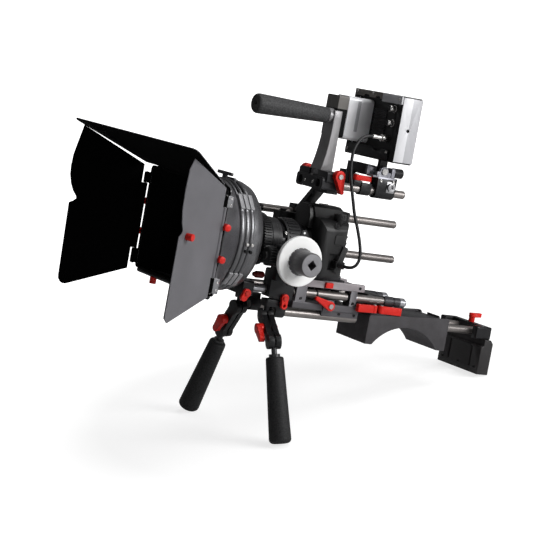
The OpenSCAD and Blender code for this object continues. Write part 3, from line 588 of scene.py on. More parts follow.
plate_skin = finish_of("grey_anodised", (0.27, 0.25, 0.26), (0.34, 0.31, 0.325), 0.42, metal=0.3)
base_skin = finish_of("base_anodised", (0.09, 0.087, 0.094), (0.12, 0.116, 0.125), 0.38, metal=0.4)
dark_skin = finish_of("dark_anodised", (0.02, 0.02, 0.022), (0.03, 0.029, 0.032), 0.4, metal=0.3)
softened("base_clamp", 0.7, base_skin)
softened("camera_plate", 0.4, plate_skin)
softened("quick_plate", 0.7, dark_skin)
steel_skin = finish_of(
    "bright_steel", (0.42, 0.41, 0.4), (0.55, 0.54, 0.52), 0.25, metal=1.0, grain=700.0, depth=0.06,
)
black_screw_skin = finish_of(
    "screw_black", (0.012, 0.012, 0.013), (0.02, 0.02, 0.021), 0.3, metal=0.5, grain=900.0,
)
cap_screw = socket_screw("cap_screw", 2.7, 2.4)
base_spots = []
for side, way, foot_places in ((1, near_side, (-58, -24)), (-1, far_side, (-58, -24, 6))):
    base_spots += [(on_rig(x, side * 41, -9), way) for x in (65, -49)]
    base_spots += [(on_rig(x, side * 39.6, -31.5), way) for x in foot_places]
    base_spots += [(on_rig(x, side * 38, 19.5), way) for x in (-62, 72)]
spread_out(cap_screw, "base_screws", base_spots, black_screw_skin, "rig")

# Ball mounts and arms
# Black anodised clamps on the front of the lower rods, each with a ball on a stud, and pairs of cast
# shells that close on two balls when the wing lever between them is turned.
black_skin = finish_of(
    "black_anodised", (0.008, 0.008, 0.009), (0.014, 0.014, 0.0155), 0.36, metal=0.2, depth=0.12,
)
for node in ("ball_mounts", "pad_bracket", "weight_clamp"):
    softened(node, 0.8, black_skin)
dress(black_skin, "tilt_knob")
cast_skin = finish_of(
    "cast_black", (0.007, 0.007, 0.008), (0.013, 0.013, 0.014), 0.4, grain=800.0, depth=0.25,
)
for side in ("left", "right"):
    softened(side + "_arm", 2.6, cast_skin, parts=4)
mount_spots = [(on_rig(102, 44, -23.5), near_side), (on_rig(118, -44, -23.5), far_side)]
spread_out(cap_screw, "mount_screws", mount_spots, black_screw_skin, "rig")

# Hand grips
# Closed-cell foam sleeves, moulded in a taper and pushed over a steel core that ends in a ball.
# The foot is rounded, and the neck sits on a turned collar.
foam_skin = finish_of(
    "foam_skin", (0.004, 0.004, 0.0045), (0.022, 0.022, 0.023), 0.6, grain=650.0, depth=1.0, patch=420.0,
)
stem_skin = finish_of(
    "dark_steel", (0.06, 0.06, 0.062), (0.1, 0.1, 0.1), 0.3, metal=0.8, grain=700.0, depth=0.06,
)
dress(stem_skin, "left_stem", "right_stem")
arm_length = 0.067
grip_reach = 180.0
grip_foot = 20.0
grip_neck = 16.0
grip_start = 27.0
foot_round = 8.0
core_r = 6.3
neck_rise = 4.0
taper_steps = 6
for side, stud, arm_way, heading in (
    ("left", (129, 36, -47), (18.2, 55, -33.2), 59.5),
    ("right", (145, -36, -47), (11.3, -42.4, -50.6), -53.5),
):
    low_ball = on_rig(*stud) + arm_length * Vector(arm_way).normalized()
    flat_run = (grip_foot - foot_round, grip_reach - foot_round)
    lean = math.atan2(*flat_run) + math.acos((low_ball.z * 1000.0 - foot_round) / math.hypot(*flat_run))
    turn = math.radians(heading)
    grip_way = Vector((math.sin(lean) * math.cos(turn), math.sin(lean) * math.sin(turn), -math.cos(lean)))
    grip_outline = [
        (core_r, grip_start + 0.3), (grip_neck - 4.5, grip_start), (grip_neck - 2.2, grip_start + 0.5),
        (grip_neck - 0.8, grip_start + 1.8), (grip_neck, grip_start + neck_rise),
    ]
    straight = grip_reach - foot_round - grip_start - neck_rise
    for k in range(1, taper_steps):
        taper = (grip_foot - grip_neck) * k / taper_steps
        grip_outline.append((grip_neck + taper, grip_start + neck_rise + straight * k / taper_steps))
    for degrees in range(0, 91, 15):
        a = math.radians(degrees)
        grip_outline.append((flat_run[0] + foot_round * math.cos(a), flat_run[1] + foot_round * math.sin(a)))
    grip_outline += [
        (4.5, grip_reach), (4.0, grip_reach - 1.0), (3.6, grip_reach - 9.0), (core_r, grip_reach - 10.4),
    ]
    grip = turned(side + "_foam_sleeve", grip_outline, low_ball, grip_way)
    seat(grip, foam_skin, side + "_handle")
    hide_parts(side + "_grip")

# Offset arm
# A bent and milled black bar that carries the side rods and the top handle. It is bolted to the base
# through its foot, and cap screws close its rod clamps.
softened("c_arm", 1.2, black_skin)
arm_spots = [(on_rig(14, -116, z), far_side) for z in (133, 65, 20)] + [(on_rig(14, -22, 190), up)]
spread_out(cap_screw, "offset_arm_screws", arm_spots, steel_skin, "rig")

# Camera body
# A still camera in textured black plastic, with rubber on its grip, set on the quick plate.
# Its left side has a closed door, and an open rubber flap over the socket in use.
def pushed(name, corners, push):
    """A flat outline in rig millimetres, filled and pushed to a thickness."""
    piece = loop_of(name, [Vector(place) / 1000.0 for place in corners])
    bpy.ops.mesh.edge_face_add()
    bpy.ops.mesh.extrude_region_move(TRANSFORM_OT_translate={"value": Vector(push) / 1000.0})
    face_out()
    return set_down(piece, Matrix.Translation(rig_place) @ rig_turn.to_4x4())


def panel_x(name, x, low, high, push):
    """A rectangle of (y, z) corners at one x, pushed along x."""
    corners = [(x, low[0], low[1]), (x, high[0], low[1]), (x, high[0], high[1]), (x, low[0], high[1])]
    return pushed(name, corners, (push, 0, 0))


def panel_y(name, y, low, high, push):
    """A rectangle of (x, z) corners at one y, pushed along y."""
    corners = [(low[0], y, low[1]), (high[0], y, low[1]), (high[0], y, high[1]), (low[0], y, high[1])]
    return pushed(name, corners, (0, push, 0))


camera_skin = finish_of(
    "camera_skin", (0.009, 0.009, 0.0095), (0.014, 0.014, 0.0145), 0.4, grain=1600.0, depth=0.3,
)
rubber_skin = finish_of(
    "rubber_skin", (0.02, 0.02, 0.0205), (0.028, 0.028, 0.0285), 0.52, grain=1200.0, depth=0.4,
)
screen_skin = finish_of(
    "screen_glass", (0.004, 0.004, 0.005), (0.007, 0.007, 0.008), 0.12, grain=200.0, depth=0.01,
)
band_of(camera_skin, (57, -90, 40), (84, -42, 128), (0.016, 0.016, 0.0165), 0.6)
softened("camera_body", 2.6, camera_skin, parts=4, angle=26.0)
softened("mode_dial", 0.3, camera_skin)
dress(camera_skin, "shutter_button")
door_y = 62
cover_t = 1.6
door_outline = [(x, door_y, z) for x, z in (
    (4, 97), (28, 97), (29, 101), (28, 113), (24, 115), (8, 115), (4, 112),
)]
door = rounded(pushed("side_door", door_outline, (0, cover_t, 0)), 0.8)
seat(door, rubber_skin, "rig")
flap_outline = [(8, 63.5, 97), (-2, 63.5, 93), (11, 66.5, 46), (24, 66.5, 50)]
flap = rounded(pushed("socket_flap", flap_outline, (0, cover_t, 0)), 0.7)
seat(flap, rubber_skin, "rig")
eyecup = sink(panel_x("eyecup", -18, (-20, 126), (20, 154), -5.5), back, 5.0, 4.0)
seat(rounded(eyecup, 2.0, parts=4), rubber_skin, "rig")
screen = rounded(panel_x("rear_screen", -6, (-46, 50), (36, 114), -0.8), 0.6)
seat(screen, screen_skin, "rig")
camera_back = -4
wheel_outline = [(4.5, -0.5), (13.0, -0.5), (13.0, 1.0), (12.0, 2.2), (7.5, 1.6), (6.0, 2.6), (4.5, 2.6)]
rear_wheel = turned("rear_wheel", wheel_outline, on_rig(camera_back, -67, 80), back, steps=40)
seat(rear_wheel, camera_skin, "rig")
button = turned("camera_button", [(0.0, -0.5), (3.0, -0.5), (3.0, 0.7), (2.4, 1.3), (0.0, 1.4)], steps=24)
button_places = ((49, 112), (49, 100), (-58, 116), (-70, 122), (-67, 58), (-67, 80))
button_spots = [(on_rig(camera_back, y, z), back) for y, z in button_places]
button_spots += [(on_rig(x, -46, 135.6), up) for x in (14, 26)]
spread_out(button, "camera_buttons", button_spots, camera_skin, "rig")
lug_r = 5.2
lug_wire = 0.9
lug_turns = [math.radians(degrees) for degrees in range(0, 360, 45)]
ring_outline = [(lug_r + lug_wire * math.cos(a), lug_wire * math.sin(a)) for a in lug_turns]
lug = turned("strap_lug", ring_outline, steps=28)
lug_spots = [(on_rig(26, 61, 131), rig_way(0.4, 1, 0.5)), (on_rig(26, -87, 122), rig_way(0.4, -1, 0.3))]
spread_out(lug, "strap_lugs", lug_spots, black_screw_skin, "rig")
put_away(button, lug)

# Lens
# A zoom lens in black metal and plastic with ribbed rubber rings, locked in the camera's mount.
# A small clamp block with a screw sits on its barrel between the two rings.
lens_skin = finish_of(
    "lens_skin", (0.008, 0.008, 0.009), (0.014, 0.014, 0.015), 0.24, metal=0.2, grain=1500.0, depth=0.06,
)
ring_skin = finish_of(
    "ring_rubber", (0.012, 0.012, 0.013), (0.02, 0.02, 0.021), 0.42, grain=1300.0, depth=0.2,
)
dress(lens_skin, "lens_barrel")
dress(ring_skin, "focus_ring", "zoom_ring")
glass = bpy.data.materials.new("front_glass")
glass.use_nodes = True
glass_tree = glass.node_tree
glass_shader = glass_tree.nodes["Principled BSDF"]
glass_shader.inputs["Coat Weight"].default_value = 1.0
glass_shader.inputs["Coat Roughness"].default_value = 0.02
two_tone(glass_tree, 22.0, 1.0, (0.012, 0.014, 0.05), (0.03, 0.014, 0.05))
_, glass_gloss = smooth_noise(glass_tree, 300.0, 2.0, 0.03, 0.07)
glass_tree.links.new(glass_gloss.outputs["Result"], glass_shader.inputs["Roughness"])
dress(glass, "lens_glass")
lens_block = rounded(panel_y("lens_block", 30, (115, 96), (123, 108), 9.5), 1.2)
seat(lens_block, lens_skin, "rig")
spread_out(
    cap_screw, "lens_block_screw", [(on_rig(119, 39.5, 104), near_side)], steel_skin, "rig",
)

# Follow focus
# A gearbox on the rods turns the lens ring. Its white marking disc is moulded plastic, and the smooth
# dark knob has a square socket for a crank; its near-side end face is painted paler as painted light.
# A pointer stands behind the disc, and the white dot on it is a painted highlight.
white_skin = finish_of("white_disc", (0.95, 0.95, 0.94), (0.97, 0.97, 0.96), 0.36, grain=900.0, depth=0.03)
softened("focus_disc", 1.2, white_skin, parts=3)


def past(tree, source, way, least):
    """One where a surface's normal or place, taken along a way, is more than a least amount."""
    place = add_node(tree, "TexCoord")
    share = add_node(tree, "VectorMath", "DOT_PRODUCT")
    share.inputs[1].default_value = way
    above = add_node(tree, "Math", "GREATER_THAN")
    above.inputs[1].default_value = least
    tree.links.new(place.outputs[source], share.inputs[0])
    tree.links.new(share.outputs["Value"], above.inputs[0])
    return above.outputs[0]


def face_of(material, way, least, colour, rough=None, metal=None, shine=None):
    """Repaint what faces a way more than a least amount."""
    repaint(material, past(material.node_tree, "Normal", way, least), colour, rough, metal, shine)


knob_skin_lit_front = finish_of("knob_black_painted_lit_front", (0.07, 0.069, 0.072), (0.09, 0.088, 0.092), 0.34, metal=0.2)
# The knob's near-side end face is painted paler grey as painted light.
face_of(knob_skin_lit_front, near_side, 0.9, (0.24, 0.238, 0.25), 0.36)
softened("focus_knob", 0.5, knob_skin_lit_front)
softened("focus_gearbox", 1.0, black_skin)
gear_skin = finish_of("gear_nylon", (0.02, 0.02, 0.021), (0.032, 0.032, 0.033), 0.4, grain=900.0, depth=0.06)
softened("drive_gear", 0.25, gear_skin)
pointer_y = 83
pointer_t = 2.6
pointer_outline = [(x, pointer_y, z) for x, z in (
    (97, 83), (115, 83), (118, 108), (115, 117), (107, 119), (99, 108),
)]
pointer = rounded(pushed("focus_pointer", pointer_outline, (0, pointer_t, 0)), 0.6)
seat(pointer, black_skin, "rig")
# The white dot on the pointer is a painted highlight.
glint_outline = [(0.0, -0.4), (2.0, -0.4), (2.0, 0.3), (1.6, 0.6), (0.0, 0.7)]
dot = turned("pointer_painted_glint", glint_outline, on_rig(110, pointer_y + pointer_t, 113), near_side, steps=24)
seat(dot, white_skin, "rig")
gear_spots = [(on_rig(142, y, z), ahead) for y in (51, 81) for z in (49, 78)]
spread_out(cap_screw, "gearbox_screws", gear_spots, black_screw_skin, "rig")

# Matte box
# A bracket on the rods carries three round filter rings, with two sliding trays, and a moulded hood.
# The outside is satin dark grey, with the ring tabs painted lighter grey as a painted highlight. The
# inside of the hood and the rings' face within it are painted near-black as painted shade.
lens_height = 0.085


def off_axis(tree, radius):
    """One farther than a radius, in millimetres, from the lens axis."""
    across = add_node(tree, "VectorMath", "MULTIPLY")
    across.inputs[1].default_value = (0.0, 1.0, 1.0)
    reach = add_node(tree, "VectorMath", "LENGTH")
    above = add_node(tree, "Math", "GREATER_THAN")
    above.inputs[1].default_value = radius / 1000.0
    tree.links.new(rig_coords(tree, lens_height), across.inputs[0])
    tree.links.new(across.outputs["Vector"], reach.inputs[0])
    tree.links.new(reach.outputs["Value"], above.inputs[0])
    return above.outputs[0]


inside_shade_black = (0.0015, 0.0015, 0.0015)
box_skin = finish_of(
    "box_satin_painted_light_and_shade", (0.13, 0.13, 0.136), (0.16, 0.16, 0.167), 0.3, metal=0.7, grain=1300.0, depth=0.015,
)
# The rings' face inside the hood is painted near-black as painted shade.
band_of(box_skin, (246.4, -60, 20), (247.6, 60, 150), inside_shade_black, 0.9, 0.0, 0.05)
# The ring tabs, beyond the rings' round edge, are painted lighter grey as a painted highlight.
repaint(box_skin, off_axis(box_skin.node_tree, 100.4), (0.3, 0.3, 0.31), 0.4, 0.2)
softened("filter_stage", 0.5, box_skin)
tray_skin = finish_of(
    "tray_satin", (0.06, 0.06, 0.063), (0.08, 0.08, 0.084), 0.36, metal=0.5, grain=900.0, depth=0.05,
)
softened("front_tray", 0.4, tray_skin)
softened("rear_tray", 0.4, tray_skin)
softened("box_bracket", 1.0, black_skin)
hood_skin = finish_of(
    "hood_plastic_shaded_inside", (0.045, 0.044, 0.048), (0.06, 0.058, 0.064), 0.32, grain=1300.0, shine=0.7,
)
leaf_rear = 302.6
leaf_front = 320
leaf_width = 11.2
for low, high in ((-3, 25), (145, 166)):
    for y in (-156, 144.8):
        band_of(
            hood_skin, (leaf_rear, y, low), (leaf_front, y + leaf_width, high), (0.2, 0.2, 0.21), 0.36, 0.4,
        )
# The hood's faces that look ahead, its inside, are painted near-black as painted shade.
face_of(hood_skin, ahead, 0.06, inside_shade_black, 0.9, 0.0, 0.05)
softened("hood", 0.5, hood_skin, angle=50.0)
lock_outline = [(0.0, -2.0), (2.2, -2.0), (2.2, 1.2), (3.1, 1.8), (3.1, 4.6), (2.4, 5.4), (0.0, 5.6)]
lock = turned("ring_lock", lock_outline, steps=28)
tray_places = (222.5, 232.2)
lock_spots = [(on_rig(x, side * 100, 82), rig_way(0, side, 0)) for x in tray_places for side in (1, -1)]
spread_out(lock, "ring_locks", lock_spots, steel_skin, "rig")
stop_spots = [(on_rig(x, side * 99.0, 70), rig_way(0, side, -0.15)) for x in tray_places for side in (1, -1)]
spread_out(lock, "ring_stops", stop_spots, black_screw_skin, "rig")
put_away(lock)
leaf_screw = socket_screw("leaf_screw", 1.5, 1.2)
leaf_spots = []
for side in (1, -1):
    leaf_spots += [(on_rig(307, side * 152.6, z), rig_way(0, side, 0)) for z in (4, 18, 150, 160.5)]
    leaf_spots += [(on_rig(307, side * y, 183.6), up) for y in (91, 101)]
spread_out(leaf_screw, "leaf_screws", leaf_spots, steel_skin, "rig")
put_away(leaf_screw)
slot_skin = finish_of("slot_black", (0.002, 0.002, 0.002), (0.004, 0.004, 0.004), 0.6, grain=1300.0)
hood_half = 148.05
for side in (1, -1):
    slot = panel_y("hood_slot", side * hood_half, (307.3, 71), (309.7, 97), side * 0.4)
    seat(rounded(slot, 0.15), slot_skin, "rig")
rail_outline = [(0.0, -138.0), (3.6, -138.0), (4.6, -137.0), (4.6, 127.0), (3.6, 128.0), (0.0, 128.0)]
rail = turned("hood_lower_rail", rail_outline, on_rig(305.5, 0, -12), near_side, steps=40)
seat(rail, black_skin, "rig")

# Flags
# Thin powder-coated aluminium sheets on hinge pins at the hood's front edge. Their outside is painted
# mid-grey as painted light, and their inside near-black as painted shade. Red knurled knobs on the hood
# and on the flags hold them at their angle.
hinge_x = 316.0
hinge_y = 149.0
hinge_z = 180.0
flag_flare = math.radians(29.0)
top_flare = math.radians(26.0)
flag_faces = {
    "left_flag": (on_rig(hinge_x, hinge_y, 0), rig_way(math.sin(flag_flare), -math.cos(flag_flare), 0)),
    "right_flag": (on_rig(hinge_x, -hinge_y, 0), rig_way(math.sin(flag_flare), math.cos(flag_flare), 0)),
    "top_flag": (on_rig(hinge_x, 0, hinge_z), rig_way(math.sin(top_flare), 0, -math.cos(top_flare))),
}
flag_shade_black = (0.0012, 0.0012, 0.0012)
flag_lit_shaded_paints = {}
for flag, (hinge, inner_way) in flag_faces.items():
    # The grey outer tone is painted light; the flags' own finish is black.
    lit_shaded_paint = finish_of(
        flag + "_painted_light_and_shade", (0.128, 0.126, 0.136), (0.158, 0.156, 0.168), 0.46, metal=0.15, grain=1500.0,
        depth=0.2,
    )
    # The face beyond the hinge plane, on the hood's side, is painted near-black as painted shade.
    shaded_inside = past(lit_shaded_paint.node_tree, "Object", inner_way, inner_way.dot(hinge))
    repaint(lit_shaded_paint, shaded_inside, flag_shade_black, 0.9, 0.0, 0.05)
    flag_lit_shaded_paints[flag] = lit_shaded_paint

softened("left_flag", 0.4, flag_lit_shaded_paints["left_flag"])
far_edge = [
    (7, 25), (7, -14), (113, -62), (119, -62), (124, -59.5), (127.6, -54), (128.5, -47), (131, 86), (124, 90),
    (119, 95), (120, 99), (127, 108), (133, 121), (137, 137), (138, 153), (137, 173), (133, 194), (126, 229),
    (7, 178), (7, 145), (3, 145), (3, 25),
]
half_sheet = 1.25
far_turn = (math.cos(flag_flare), -math.sin(flag_flare))
far_inner = (half_sheet * math.sin(flag_flare), half_sheet * math.cos(flag_flare))
far_sheet = []
for u, z in far_edge:
    far_sheet.append((hinge_x + far_turn[0] * u + far_inner[0], -hinge_y + far_turn[1] * u + far_inner[1], z))
far_flag = pushed("right_flag_sheet", far_sheet, (-2 * far_inner[0], -2 * far_inner[1], 0))
seat(rounded(far_flag, 0.3, parts=1), flag_lit_shaded_paints["right_flag"], "right_flag", smooth=25.0)
barrel_outline = [(2.4, 25.0), (4.0, 25.0), (4.0, 145.0), (2.4, 145.0)]
barrel = turned("right_flag_barrel", barrel_outline, on_rig(hinge_x, -hinge_y, 0), up, steps=32)
seat(barrel, flag_lit_shaded_paints["right_flag"], "right_flag")
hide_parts("right_flag")
top_sheet = softened("top_flag", 0.4, flag_lit_shaded_paints["top_flag"])
far_corner_y = -0.2
far_corner_growth = 0.007
for corner in top_sheet.data.vertices:
    if corner.co.y < far_corner_y:
        corner.co += far_side * far_corner_growth

red_skin = finish_of(
    "red_anodised", (0.58, 0.012, 0.007), (0.7, 0.018, 0.011), 0.34, metal=0.1, grain=900.0, depth=0.06,
)
knurl_depth = 0.93
knob_out = 103.0
knob_height = 94.0
knob_lift = 0.0068
bpy.ops.mesh.primitive_cylinder_add(vertices=36, radius=0.0062, depth=0.0125, location=(0.0, 0.0, 0.0))
flag_knob = bpy.context.object
flag_knob.name = "flag_knob"
for corner in flag_knob.data.vertices:
    if corner.index // 2 % 2:
        corner.co.x *= knurl_depth
        corner.co.y *= knurl_depth
rounded(flag_knob, 0.5, parts=2, angle=70.0)
hood_knobs = [(on_rig(306, -76, -21), down)]
hood_knobs += [(on_rig(308.6, side * 153.6, z), rig_way(0, side, 0)) for side in (1, -1) for z in (57, 112)]
spread_out(flag_knob, "hood_knobs", hood_knobs, red_skin, "rig")
for flag, side in (("left_flag", 1), ("right_flag", -1)):
    outward = rig_way(-math.sin(flag_flare), side * math.cos(flag_flare), 0)
    knob_x = hinge_x + knob_out * math.cos(flag_flare)
    knob_y = side * (hinge_y + knob_out * math.sin(flag_flare))
    knob_spot = on_rig(knob_x, knob_y, knob_height) + outward * knob_lift
    spread_out(flag_knob, flag + "_knob", [(knob_spot, outward)], red_skin, flag)
put_away(flag_knob)

# Top handle
# A two-rod clamp block, a machined arm with a curved front and a foam grip on a core screwed to it.
# The arm is as slim and as wide as in the photograph, where its node is a plain plate.
softened("handle_block", 1.4, dark_skin, parts=3)
arm_skin = finish_of("arm_grey", (0.2, 0.196, 0.2), (0.25, 0.245, 0.25), 0.36, metal=0.4)
arm_base = 224.0
arm_top = 334.0
arm_steps = 12
arm_rear = (34.2, 30.8)
arm_near = (22.0, 16.0)
arm_far = 14.0
arm_slim = 16.5
arm_sweep = 9.5
grip_line = 323
arm_levels = [arm_base + (arm_top - arm_base) * k / arm_steps for k in range(arm_steps + 1)]


def along_arm(pair, height):
    """A size that runs evenly from the arm's base to its top."""
    return pair[0] + (pair[1] - pair[0]) * (height - arm_base) / (arm_top - arm_base)


def arm_depth(height):
    """The arm's depth from back to front, swept out towards its base."""
    return arm_slim + arm_sweep * ((arm_top - height) / (arm_top - arm_base)) ** 3


arm_back = [(along_arm(arm_rear, z), -1, z) for z in arm_levels]
arm_front = [(along_arm(arm_rear, z) + arm_depth(z), -1, z) for z in reversed(arm_levels)]
arm = pushed("handle_arm_edged", arm_back + arm_front, (0, 2, 0))
for corner in arm.data.vertices:
    height = (corner.co - rig_place).dot(up) * 1000.0
    corner.co.y *= along_arm(arm_near, height) if corner.co.y > 0.0 else arm_far
seat(rounded(arm, 1.0), arm_skin, "rig")
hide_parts("handle_arm")
arm_foot = panel_x("arm_foot", 34, (-13.8, 213.2), (13.8, 224.6), 23)
seat(rounded(arm_foot, 0.6), arm_skin, "rig")
collar_outline = [(2.0, 0.0), (14.0, 0.0), (14.0, 9.6), (2.0, 9.6)]
collar = turned("arm_collar", collar_outline, on_rig(44.6, 0, grip_line), ahead)
seat(collar, arm_skin, "rig")
grip_top_outline = [
    (7.3, 0.3), (11.0, 0.0), (13.2, 0.6), (14.3, 2.2), (15.0, 30.0), (15.8, 60.0), (16.6, 90.0),
    (17.4, 120.0), (18.0, 144.0), (17.8, 147.0), (17.0, 149.6), (15.4, 151.4), (13.6, 152.0),
    (12.4, 151.2), (4.6, 151.2), (3.2, 150.4), (3.2, 144.0), (7.3, 143.0),
]
top_foam = finish_of(
    "top_foam", (0.018, 0.018, 0.0185), (0.07, 0.07, 0.072), 0.6, grain=650.0, depth=1.0, patch=420.0,
)
top_sleeve = turned("top_foam_sleeve", grip_top_outline, on_rig(54, 0, grip_line), ahead)
seat(top_sleeve, top_foam, "rig")
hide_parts("top_grip")
block_spots = [(on_rig(66, y, 201), ahead) for y in (-13, 13)]
block_spots += [(on_rig(x, 0, 213), up) for x in (26.5, 62)]
spread_out(cap_screw, "handle_block_screws", block_spots, steel_skin, "rig")

# Monitor
# A clamp on the top rods with a tilt lug, and a field monitor in a silver case. Its black back is
# recessed, and holds the battery, two brackets, cooling ribs and the sockets.
clamp_skin = finish_of(
    "clamp_black", (0.01, 0.01, 0.011), (0.016, 0.016, 0.0175), 0.36, metal=0.25, depth=0.12,
)
band_of(clamp_skin, (-92, 16, 226), (-40, 44, 252), (0.26, 0.26, 0.29), 0.36, 0.4)
band_of(clamp_skin, (-93, 41.8, 202), (-76, 60, 222), (0.35, 0.35, 0.36), 0.3, 0.8)
softened("monitor_clamp", 0.8, clamp_skin)
shell_skin = finish_of(
    "silver_case", (0.66, 0.66, 0.68), (0.71, 0.71, 0.73), 0.38, metal=0.1, grain=1300.0, depth=0.08,
)
band_of(shell_skin, (-120, -wide, 200), (-73, wide, 500), (0.46, 0.46, 0.48))
case_black = (0.012, 0.012, 0.013)
for low, high in ((200, 261.6), (378.4, 500)):
    band_of(shell_skin, (-200, -wide, low), (200, wide, high), case_black, 0.35, 0.0)
face_of(shell_skin, ahead, 0.6, (0.004, 0.004, 0.0045), 0.42, 0.0, 0.2)
face_of(shell_skin, back, 0.6, (0.005, 0.005, 0.006), 0.14, 0.0)
for way in (up, down):
    face_of(shell_skin, way, 0.6, (0.02, 0.02, 0.021), 0.4, 0.0)
band_of(shell_skin, (-200, 20, 200), (200, 42, 258.6), case_black, 0.4, 0.2)
softened("monitor_shell", 1.2, shell_skin, parts=3)
battery_skin = finish_of(
    "battery_case", (0.7, 0.7, 0.72), (0.77, 0.77, 0.79), 0.34, metal=0.2, grain=1300.0, depth=0.08,
)
band_of(battery_skin, (0.4, -wide, 0), (40, wide, wide), (0.003, 0.003, 0.0035), 0.45, 0.0, 0.1)
band_of(battery_skin, (0.4, -wide, 338), (40, wide, wide), (0.2, 0.19, 0.18), 0.5, 0.0)
band_of(battery_skin, (-27, -16.6, 301), (-20, -10, 357), (0.36, 0.36, 0.38), 0.4, 0.2)
softened("battery", 1.6, battery_skin, parts=3)
softened("monitor_plug", 0.4, steel_skin)
warm_skin = finish_of("bracket_grey", (0.13, 0.12, 0.11), (0.18, 0.165, 0.15), 0.4, metal=0.4, grain=900.0)
recess_x = -52
recess_floor = -54.6
top_bracket_outline = [(recess_x, y, z) for y, z in (
    (-75, 369), (-48, 369), (-45, 373), (-30, 373), (-27, 369), (-8, 369), (-5, 373), (6, 373),
    (9, 369), (14, 369), (14, 380), (-75, 380),
)]
top_bracket = rounded(pushed("top_bracket", top_bracket_outline, (3.2, 0, 0)), 0.6)
seat(top_bracket, warm_skin, "monitor")
low_bracket_outline = [(recess_x, y, z) for y, z in (
    (-78, 262), (62, 262), (62, 280), (40, 280), (36, 275), (16, 275), (12, 280), (-14, 280),
    (-64, 280), (-78, 272),
)]
low_bracket = rounded(pushed("low_bracket", low_bracket_outline, (2.6, 0, 0)), 0.6)
seat(low_bracket, black_skin, "monitor")
pale_skin = finish_of("pale_case", (0.5, 0.5, 0.52), (0.58, 0.58, 0.6), 0.4, grain=1300.0, depth=0.08)
corner_block = rounded(panel_x("corner_block", recess_x, (16, 365), (80, 380), 4.5), 1.2)
seat(corner_block, pale_skin, "monitor")
rib_end = -8
rib_tip = -52.6
rib_width = 2.6
rib_pitch = 6
rib_count = 9
rib_outline = [(recess_floor - 1.0, rib_end, 352), (recess_floor - 1.0, rib_end, 298)]
for k in range(rib_count):
    low = 300 + rib_pitch * k
    high = low + rib_width
    rib_outline += [(recess_floor, rib_end, low), (rib_tip, rib_end, low)]
    rib_outline += [(rib_tip, rib_end, high), (recess_floor, rib_end, high)]
ribs = rounded(pushed("cooling_ribs", rib_outline, (0, 40, 0)), 0.4, parts=2)
seat(ribs, black_skin, "monitor")
sleeve_outline = [
    (3.2, -1.0), (7.0, -1.0), (7.0, 0.8), (5.6, 1.4), (5.6, 11.0), (5.2, 11.6), (4.7, 11.6), (4.7, 9.0),
    (3.2, 9.0),
]
socket_sleeve = turned("socket_sleeve", sleeve_outline, steps=32)
socket_spots = [(on_rig(recess_floor, 53, z), ahead) for z in (329, 355)]
spread_out(socket_sleeve, "socket_sleeves", socket_spots, steel_skin, "monitor")
put_away(socket_sleeve)
back_places = ((-49.4, 58, 276), (-49.4, -70, 268), (-48.8, -68, 376), (-48.8, -16, 377), (-47.5, 72, 373))
back_spots = [(on_rig(*place), ahead) for place in back_places]
spread_out(cap_screw, "monitor_screws", back_spots, steel_skin, "monitor")
key = turned("monitor_key", [(0.0, -0.6), (2.6, -0.6), (2.6, 0.6), (2.0, 1.1), (0.0, 1.2)], steps=24)
key_spots = [(on_rig(-94, y, 265), back) for y in (-40, -24, -8, 8, 24, 40)]
spread_out(key, "monitor_keys", key_spots, black_skin, "monitor")
put_away(key)
clamp_spots = [(on_rig(x, 42.5, 222), near_side) for x in (-89, -61)]
spread_out(cap_screw, "clamp_screws", clamp_spots, steel_skin, "rig")

# Shoulder pad
# A moulded block of firm closed-cell foam with an arch for the shoulder. Its plate lies in a pocket in
# the top, with a thin rim of foam round it, and the two rear rods leave through its end.
pad_skin = finish_of(
    "pad_foam", (0.046, 0.043, 0.046), (0.064, 0.061, 0.065), 0.72, grain=520.0, depth=0.8, patch=40.0,
)
pad_front = -86.0
pad_rear = -270.0
pad_half = 50.0
arch_x = -176.0
arch_z = -137.0
arch_r = 94.0
arch_steps = 24
pad_low = -80.0
rod_hole_r = 10.7
rear_rod_z = -38.0
half_arch = math.acos((pad_low - arch_z) / arch_r)
pad_outline = [(pad_front, pad_half, -28.5), (pad_front, pad_half, pad_low)]
for k in range(arch_steps + 1):
    a = half_arch * (1 - 2 * k / arch_steps)
    pad_outline.append((arch_x + arch_r * math.sin(a), pad_half, arch_z + arch_r * math.cos(a)))
pad_outline += [(pad_rear, pad_half, pad_low), (pad_rear, pad_half, -21)]
pad_outline += [(pad_rear + 3, pad_half, -18), (pad_front - 3, pad_half, -25.5)]
pad = pushed("foam_pad", pad_outline, (0, -2 * pad_half, 0))


def cut_away(piece, cutter):
    """Cut another form out of a piece, and remove that form."""
    pick(piece)
    bpy.ops.object.modifier_add(type="BOOLEAN")
    piece.modifiers[-1].object = cutter
    bpy.ops.object.modifier_apply(modifier=piece.modifiers[-1].name)
    put_away(cutter)


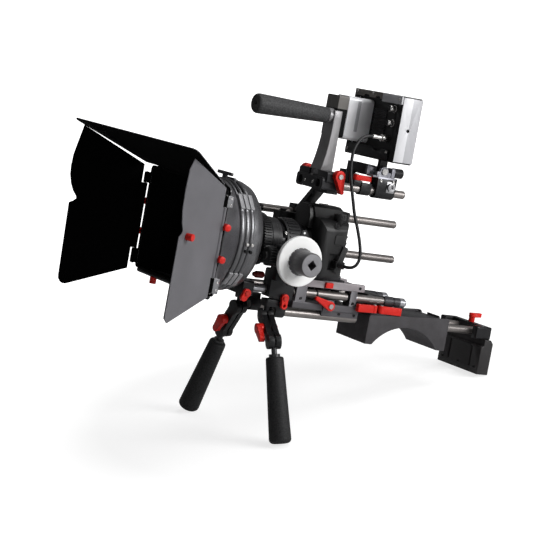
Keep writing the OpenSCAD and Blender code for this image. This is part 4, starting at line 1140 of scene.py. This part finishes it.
hole_x = pad_rear - 1
for y in (-30, 30):
    keyhole = []
    for degrees in range(180, 361, 15):
        a = math.radians(degrees)
        keyhole.append((hole_x, y + rod_hole_r * math.cos(a), rear_rod_z + rod_hole_r * math.sin(a)))
    keyhole += [(hole_x, y + rod_hole_r, -10), (hole_x, y - rod_hole_r, -10)]
    cut_away(pad, pushed("pad_cutter", keyhole, (59.3, 0, 0)))
pocket_half = 47.3
pocket_z = -26
pocket = [(x, y, pocket_z) for x, y in (
    (-266.3, pocket_half), (-80, pocket_half), (-80, -pocket_half), (-266.3, -pocket_half),
)]
cut_away(pad, pushed("pad_cutter", pocket, (0, 0, 20)))
rounded(pad, 1.1, parts=3, angle=40.0)
seat(pad, pad_skin, "rig")
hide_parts("shoulder_pad")
softened("pad_plate", 0.6, dark_skin)
plate_spots = [(on_rig(x, y, -22), up) for x in (-140, -255) for y in (-38, 38)]
spread_out(cap_screw, "pad_plate_screws", plate_spots, black_screw_skin, "rig")

# Counterweight
# An iron casting in dark textured paint, bolted under the clamp on the rear rods.
weight_skin = finish_of(
    "weight_paint", (0.02, 0.0185, 0.019), (0.03, 0.028, 0.029), 0.45, grain=600.0, depth=0.3,
)
softened("counterweight", 1.4, weight_skin, parts=3)
weight_spots = [(on_rig(-346, y, -104), ahead) for y in (-50, 0, 52)]
spread_out(cap_screw, "weight_screws", weight_spots, black_screw_skin, "weight")
put_away(cap_screw)

# Levers and button
# Small cast levers in bright red anodising, each held on its clamp screw, and the plate's red button.
# Two of the steel pivot pins have red ends, and a red knob, painted dark as painted shade, stands over
# the near main rod.
for lever in (
    "left_arm_lever", "right_arm_lever", "box_lever", "focus_lever", "base_lever", "pad_lever_front",
    "pad_lever_rear", "weight_lever", "handle_lever_left", "handle_lever_right", "monitor_lever",
    "plate_button",
):
    softened(lever, 1.0, red_skin, parts=3)
pin_skin = finish_of(
    "pin_steel", (0.36, 0.355, 0.35), (0.48, 0.47, 0.46), 0.28, metal=1.0, grain=700.0, depth=0.06,
)
for x, z in ((183, -9), (104, -11)):
    band_of(pin_skin, (x - 6, 40, z - 6), (x + 6, 60, z + 6), (0.5, 0.02, 0.012), 0.36, 0.1)
dress(pin_skin, "pivot_pins")
knob_outline = [
    (0.0, -9.0), (5.0, -9.0), (5.6, -8.4), (6.4, -7.0), (6.4, 6.0), (5.8, 7.4), (4.6, 8.0), (4.0, 8.0),
    (4.0, 12.0), (0.0, 12.0),
]
rod_knob = turned("bracket_knob", knob_outline, on_rig(154, 30, 24), ahead, steps=40)
# The knob's red is painted dark as painted shade.
red_in_painted_shade = finish_of(
    "red_in_painted_shade", (0.1, 0.006, 0.005), (0.14, 0.008, 0.006), 0.36, metal=0.1, grain=900.0, depth=0.06,
)
seat(rod_knob, red_in_painted_shade, "rig")
